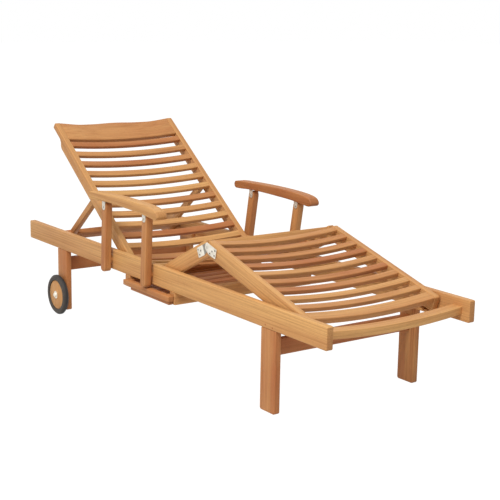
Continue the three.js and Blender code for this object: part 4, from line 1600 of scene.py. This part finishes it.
@dataclass
class Wheel(SubAssembly):
    """One wheel: a wooden disc in a rubber tyre, turning on a capped bolt."""

    side: Side
    rim_gap: float = 0.0003
    disc_dish: float = 0.002
    disc_ease: float = 0.0006
    disc_steps: int = 64
    disc_tone: float = 0.2
    hub_radius: float = 0.018
    tyre_lip: float = 0.002
    tyre_shoulder: float = 0.007
    tyre_ease: float = 0.0028
    tyre_steps: int = 72
    bolt_radius: float = 0.006
    bolt_ease: float = 0.0004
    nut_radius: float = 0.011
    nut_height: float = 0.007
    washer_radius: float = 0.0155
    washer_thickness: float = 0.0012
    cap_radius: float = 0.0105
    cap_base: float = 0.0012
    cap_shares: tuple[Pair, ...] = ((1, 0), (0.86, 0.6), (0.5, 0.88), (0, 1))

    def build(self) -> None:
        """Builds the disc, the tyre and the bolt."""
        centre, size = middle_and_size(f"wheel_disc_{self.side.word}")
        place = Matrix.Translation(centre) @ self.side.outward
        self.build_disc(place, size.x / 2, size.y / 2)
        self.build_tyre(place, size.x / 2)
        self.build_bolt(centre)

    def build_disc(self, place: Matrix, radius: float, half: float) -> None:
        """Builds the wooden disc, dished between its hub and its rim on both faces.

        Args:
            place: the matrix from the wheel to the lounger.
            radius: the disc's radius.
            half: half the disc's thickness.
        """
        bore = self.bolt_radius + self.rim_gap
        dish = self.disc_dish
        inner_face = [
            (bore, -half),
            (self.hub_radius, -half),
            (self.hub_radius + dish, dish - half),
            (radius - 2 * dish, dish - half),
            (radius, 2 * dish - half),
        ]
        outer_face_corners = [(r, -y) for r, y in reversed(inner_face)]
        form = Turned(
            inner_face + outer_face_corners, closed=True, ease=self.disc_ease, steps=self.disc_steps
        )
        word = self.side.word
        node = f"wheel_disc_{word}"
        grain = Grain.UPRIGHT.back
        self.shop.timber(f"{node}_timber", form, place, f"wheel_{word}", node, grain, self.disc_tone)

    def build_tyre(self, place: Matrix, inner: float) -> None:
        """Builds the tyre, its walls dustier than its tread.

        Args:
            place: the matrix from the wheel to the lounger.
            inner: the disc's radius.
        """
        word = self.side.word
        node = f"wheel_tyre_{word}"
        _, size = middle_and_size(node)
        outer, half = size.x / 2, size.y / 2
        inner_face = [
            (inner + self.rim_gap, self.tyre_lip - half),
            (inner + self.tyre_lip, -half),
            (outer - self.tyre_shoulder, -half),
            (outer, self.tyre_shoulder - half),
        ]
        ring = inner_face + [(r, -y) for r, y in reversed(inner_face)]
        form = Turned(ring, closed=True, ease=self.tyre_ease, steps=self.tyre_steps)
        solid = self.shop.solid(form, place)
        middle = place.to_translation()
        dusty_radius = outer - self.tyre_shoulder / 2
        tone = solid.attributes["tone"].data
        for index, vertex in enumerate(solid.vertices):
            away = math.hypot(vertex.co.x - middle.x, vertex.co.z - middle.z)
            tone[index].value = 1.0 if away < dusty_radius else 0.0
        self.shop.hang(f"{node}_rubber", [solid], f"wheel_{word}", Slot.RUBBER, node)

    def build_bolt(self, centre: Vector) -> None:
        """Builds the bolt with its washer and domed cap outside and its nut inside.

        Args:
            centre: the wheel's centre.
        """
        word = self.side.word
        node = f"axle_bolt_{word}"
        tip = outer_face(node)
        root = min(abs(corner.y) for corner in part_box(node))
        nut_top = root + self.nut_height
        base = outer_face(f"wheel_disc_{word}") + self.rim_gap
        washer_top = base + self.washer_thickness
        cap_low = washer_top + self.cap_base
        bolt = [
            (0, root),
            (self.nut_radius, root),
            (self.nut_radius, nut_top),
            (self.bolt_radius, nut_top),
            (self.bolt_radius, base),
            (self.washer_radius, base),
            (self.washer_radius, washer_top),
            (self.cap_radius, washer_top),
        ]
        for out, up in self.cap_shares:
            bolt.append((self.cap_radius * out, cap_low + (tip - cap_low) * up))
        place = Matrix.Translation((centre.x, 0, centre.z)) @ self.side.outward
        solid = self.shop.solid(Turned(bolt, ease=self.bolt_ease), place)
        self.shop.hang(f"{node}_steel", [solid], "frame", Slot.STAINLESS, node)


@dataclass
class Tray(SubAssembly):
    """The slide-out tray of narrow boards and the two grooved runners that carry it."""

    depth: float = 0.42
    board_count: int = 6
    board_gap: float = 0.005
    board_thickness: float = 0.012
    board_ease: float = 0.0015
    # The boards' tones vary from board to board, and they run dark to paint the shade that the seat above casts on
    # the tray.
    board_tones: Pair = (0.8, 1.3)
    groove_depth: float = 0.01
    groove_drop: float = 0.024
    play: float = 0.001
    runner_tone: float = 0.4
    fence_width: float = 0.012
    fence_height: float = 0.005
    fence_ease: float = 0.001
    fence_tone: float = 0.6
    lip_height: float = 0.02
    lip_thickness: float = 0.022
    lip_tone: float = 0.8
    pull_length: float = 0.266
    pull_middle: float = 0.017
    pull_thickness: float = 0.016
    pull_tone: float = 0.85
    front_ease: float = 0.002

    @property
    def span(self) -> Pair:
        """The tray's reach along X, inside the grooves of its runners.

        Returns:
            Its low and its high X.
        """
        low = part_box("tray_runner_rear")[1].x - self.groove_depth + self.play
        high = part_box("tray_runner_front")[0].x + self.groove_depth - self.play
        return low, high

    @property
    def front(self) -> float:
        """The Y at which the tray's boards meet its lip."""
        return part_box("tray")[0].y + self.lip_thickness

    @property
    def height(self) -> float:
        """The height of the middle of the tray's boards."""
        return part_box("tray_runner_rear")[1].z - self.groove_drop

    def build(self) -> None:
        """Builds the runners from their nodes' shapes, and the tray board by board."""
        for end in End:
            form = Refined(f"tray_runner_{end.word}")
            self.shop.refine(form, "frame", grain=Grain.ACROSS.back, tone=self.runner_tone)
        self.build_boards()
        self.build_fences()
        self.build_front()

    def part(self, name: str, board: Board, spot: Triple, turn: Matrix, tone: float) -> None:
        """Makes one board of the tray.

        Args:
            name: the board's name.
            board: its form.
            spot: where its middle is.
            turn: the turn from its own X to the way that it lies.
            tone: how ruddy it is.
        """
        place = Matrix.Translation(spot) @ turn
        self.shop.timber(name, board, place, "tray", "tray", tone=tone)

    def build_boards(self) -> None:
        """Builds the boards that run across the lounger."""
        low, high = self.span
        pitch = (high - low + self.board_gap) / self.board_count
        width = pitch - self.board_gap
        board = Board(self.depth, width, self.board_thickness, ease=self.board_ease)
        for index in range(self.board_count):
            x = low + (index + 0.5) * pitch - self.board_gap / 2
            spot = (x, self.front + self.depth / 2, self.height)
            tone = self.shop.boards.uniform(*self.board_tones)
            self.part(f"tray_board_{index + 1}", board, spot, Grain.ACROSS.value, tone)

    def build_fences(self) -> None:
        """Builds the low fences along both ends of the boards and along their far edge."""
        low, high = self.span
        middle_x = (low + high) / 2
        top = self.height + (self.board_thickness + self.fence_height) / 2
        away = (high - low) / 2 - self.groove_depth - self.fence_width / 2
        for end in End:
            fence = Board(self.depth, self.fence_width, self.fence_height, ease=self.fence_ease)
            spot = (middle_x + end.value * away, self.front + self.depth / 2, top)
            name = f"tray_fence_{end.word}"
            self.part(name, fence, spot, Grain.ACROSS.value, self.fence_tone)
        length = 2 * away - self.fence_width
        fence = Board(length, self.fence_width, self.fence_height, ease=self.fence_ease)
        spot = (middle_x, self.front + self.depth - self.fence_width / 2, top)
        self.part("tray_fence_far", fence, spot, STILL, self.fence_tone)

    def build_front(self) -> None:
        """Builds the lip that closes the tray's front, and the strip under it to pull on."""
        low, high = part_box("tray")
        length = high.x - low.x
        lip = Board(length, self.lip_thickness, self.lip_height, ease=self.front_ease)
        spot = (
            (low.x + high.x) / 2,
            low.y + self.lip_thickness / 2,
            high.z - self.lip_height / 2,
        )
        self.part("tray_lip", lip, spot, STILL, self.lip_tone)
        height = high.z - self.lip_height - low.z
        pull = Board(self.pull_length, self.pull_thickness, height, ease=self.front_ease)
        spot = (self.pull_middle, self.front - self.pull_thickness / 2, low.z + height / 2)
        self.part("tray_pull", pull, spot, STILL, self.pull_tone)


def background_rays(sketch: Sketch) -> Socket:
    """Adds the test for rays that should see the plain background.

    Args:
        sketch: the node tree.

    Returns:
        1 for camera, glossy and transmission rays, and 0 for others.
    """
    rays = sketch.add("ShaderNodeLightPath").outputs
    seen = sketch.calc("MAXIMUM", rays["Is Camera Ray"], rays["Is Glossy Ray"])
    return sketch.calc("MAXIMUM", seen, rays["Is Transmission Ray"])


@dataclass
class Studio:
    """The plain pale studio: floor, soft lights and the camera of the photograph."""

    camera_place: Triple = (3.5397, -2.4159, 1.2567)
    azimuth: float = math.radians(54.26)
    elevation: float = math.radians(11.77)
    roll: float = math.radians(1.04)
    focal_pixels: float = 1173.2
    frame_pixels: float = 500.0
    sensor: float = 36.0
    near_clip: float = 0.05
    far_clip: float = 100.0
    floor_side: float = 60.0
    floor_colour: RGB = (222, 219, 214)
    floor_glow: float = 1.16
    floor_lift_share: float = 0.86
    world_strength: float = 0.4
    key_power: float = 470.0
    key_size: float = 4.2
    key_place: Triple = (2.3, -3.6, 6.4)
    aim: Triple = (0.0, 0.0, 0.3)

    def build(self) -> None:
        """Builds the floor, the lights and the camera."""
        bpy.context.scene.view_settings.view_transform = "Standard"
        self.build_camera()
        self.build_world()
        self.build_floor()
        self.build_key()

    def build_camera(self) -> None:
        """Builds the camera from its fitted place and angles."""
        flat = math.cos(self.elevation)
        forward = -Vector((
            math.sin(self.azimuth) * flat,
            -math.cos(self.azimuth) * flat,
            math.sin(self.elevation),
        ))
        level = Vector((math.cos(self.azimuth), math.sin(self.azimuth), 0))
        rise = level.cross(forward)
        right = math.cos(self.roll) * level + math.sin(self.roll) * rise
        up = -math.sin(self.roll) * level + math.cos(self.roll) * rise
        data = bpy.data.cameras.new("camera")
        data.sensor_width = self.sensor
        data.lens = self.focal_pixels * self.sensor / self.frame_pixels
        data.clip_start, data.clip_end = self.near_clip, self.far_clip
        camera = bpy.data.objects.new("camera", data)
        turn = Matrix((right, up, -forward)).transposed().to_4x4()
        camera.matrix_world = Matrix.Translation(self.camera_place) @ turn
        bpy.context.scene.collection.objects.link(camera)
        bpy.context.scene.camera = camera

    def build_world(self) -> None:
        """Builds a white background over an even, dimmer light."""
        world = bpy.data.worlds.new("studio")
        bpy.context.scene.world = world
        world.use_nodes = True
        sketch = Sketch(world.node_tree)
        light, clean = (
            sketch.add("ShaderNodeBackground", {"Color": WHITE, "Strength": strength}).outputs[0]
            for strength in (self.world_strength, 1.0)
        )
        mixed = sketch.add("ShaderNodeMixShader", {0: background_rays(sketch), 1: light, 2: clean})
        sketch.add("ShaderNodeOutputWorld", {"Surface": mixed.outputs[0]})

    def build_floor(self) -> None:
        """Builds the floor, lifted to white for the camera but keeping the soft shadow."""
        mesh = bmesh.new()
        bmesh.ops.create_grid(mesh, x_segments=1, y_segments=1, size=self.floor_side / 2)
        data = bpy.data.meshes.new("floor")
        mesh.to_mesh(data)
        mesh.free()
        floor = bpy.data.objects.new("floor", data)
        bpy.context.scene.collection.objects.link(floor)
        sketch = MaterialSketch("floor")
        paint = sketch.add("ShaderNodeBsdfDiffuse", {"Color": srgb(self.floor_colour)}).outputs[0]
        glow = sketch.add("ShaderNodeEmission", {"Strength": self.floor_glow}).outputs[0]
        lifted = sketch.calc("MULTIPLY", background_rays(sketch), self.floor_lift_share)
        shader = sketch.add("ShaderNodeMixShader", {0: lifted, 1: paint, 2: glow})
        data.materials.append(sketch.close(shader))

    def build_key(self) -> None:
        """Builds the large soft light over the sitter's right-hand side."""
        data = bpy.data.lights.new("key", "AREA")
        data.energy = self.key_power
        data.size = self.key_size
        key = bpy.data.objects.new("key", data)
        towards = Vector(self.aim) - Vector(self.key_place)
        turn = towards.to_track_quat("-Z", "Y").to_matrix().to_4x4()
        key.matrix_world = Matrix.Translation(self.key_place) @ turn
        bpy.context.scene.collection.objects.link(key)


def dress_pins(shop: Workshop) -> None:
    """Gives the pivot pins, whose CAD shape stays, the satin steel.

    Args:
        shop: the workshop, which holds the finishes.
    """
    for pair in ("back_pin", "thigh_pin"):
        for side in Side:
            node = frame["nodes"][f"{pair}_{side.word}"]
            node.data.materials.clear()
            node.data.materials.append(shop.finishes[Slot.STAINLESS])
            LOG.info("%s: CAD shape kept", node.name)


def main() -> None:
    """Builds the studio and every sub-assembly in order."""
    logging.basicConfig(level=logging.INFO, format="%(message)s")
    Studio().build()
    shop = Workshop()
    FixedFrame(shop).build()
    Back(shop).build()
    Prop(shop).build()
    KneePanels(shop).build()
    for side in Side:
        Armrest(shop, side).build()
        Wheel(shop, side).build()
    Tray(shop).build()
    dress_pins(shop)


if __name__ == "__main__":
    main()
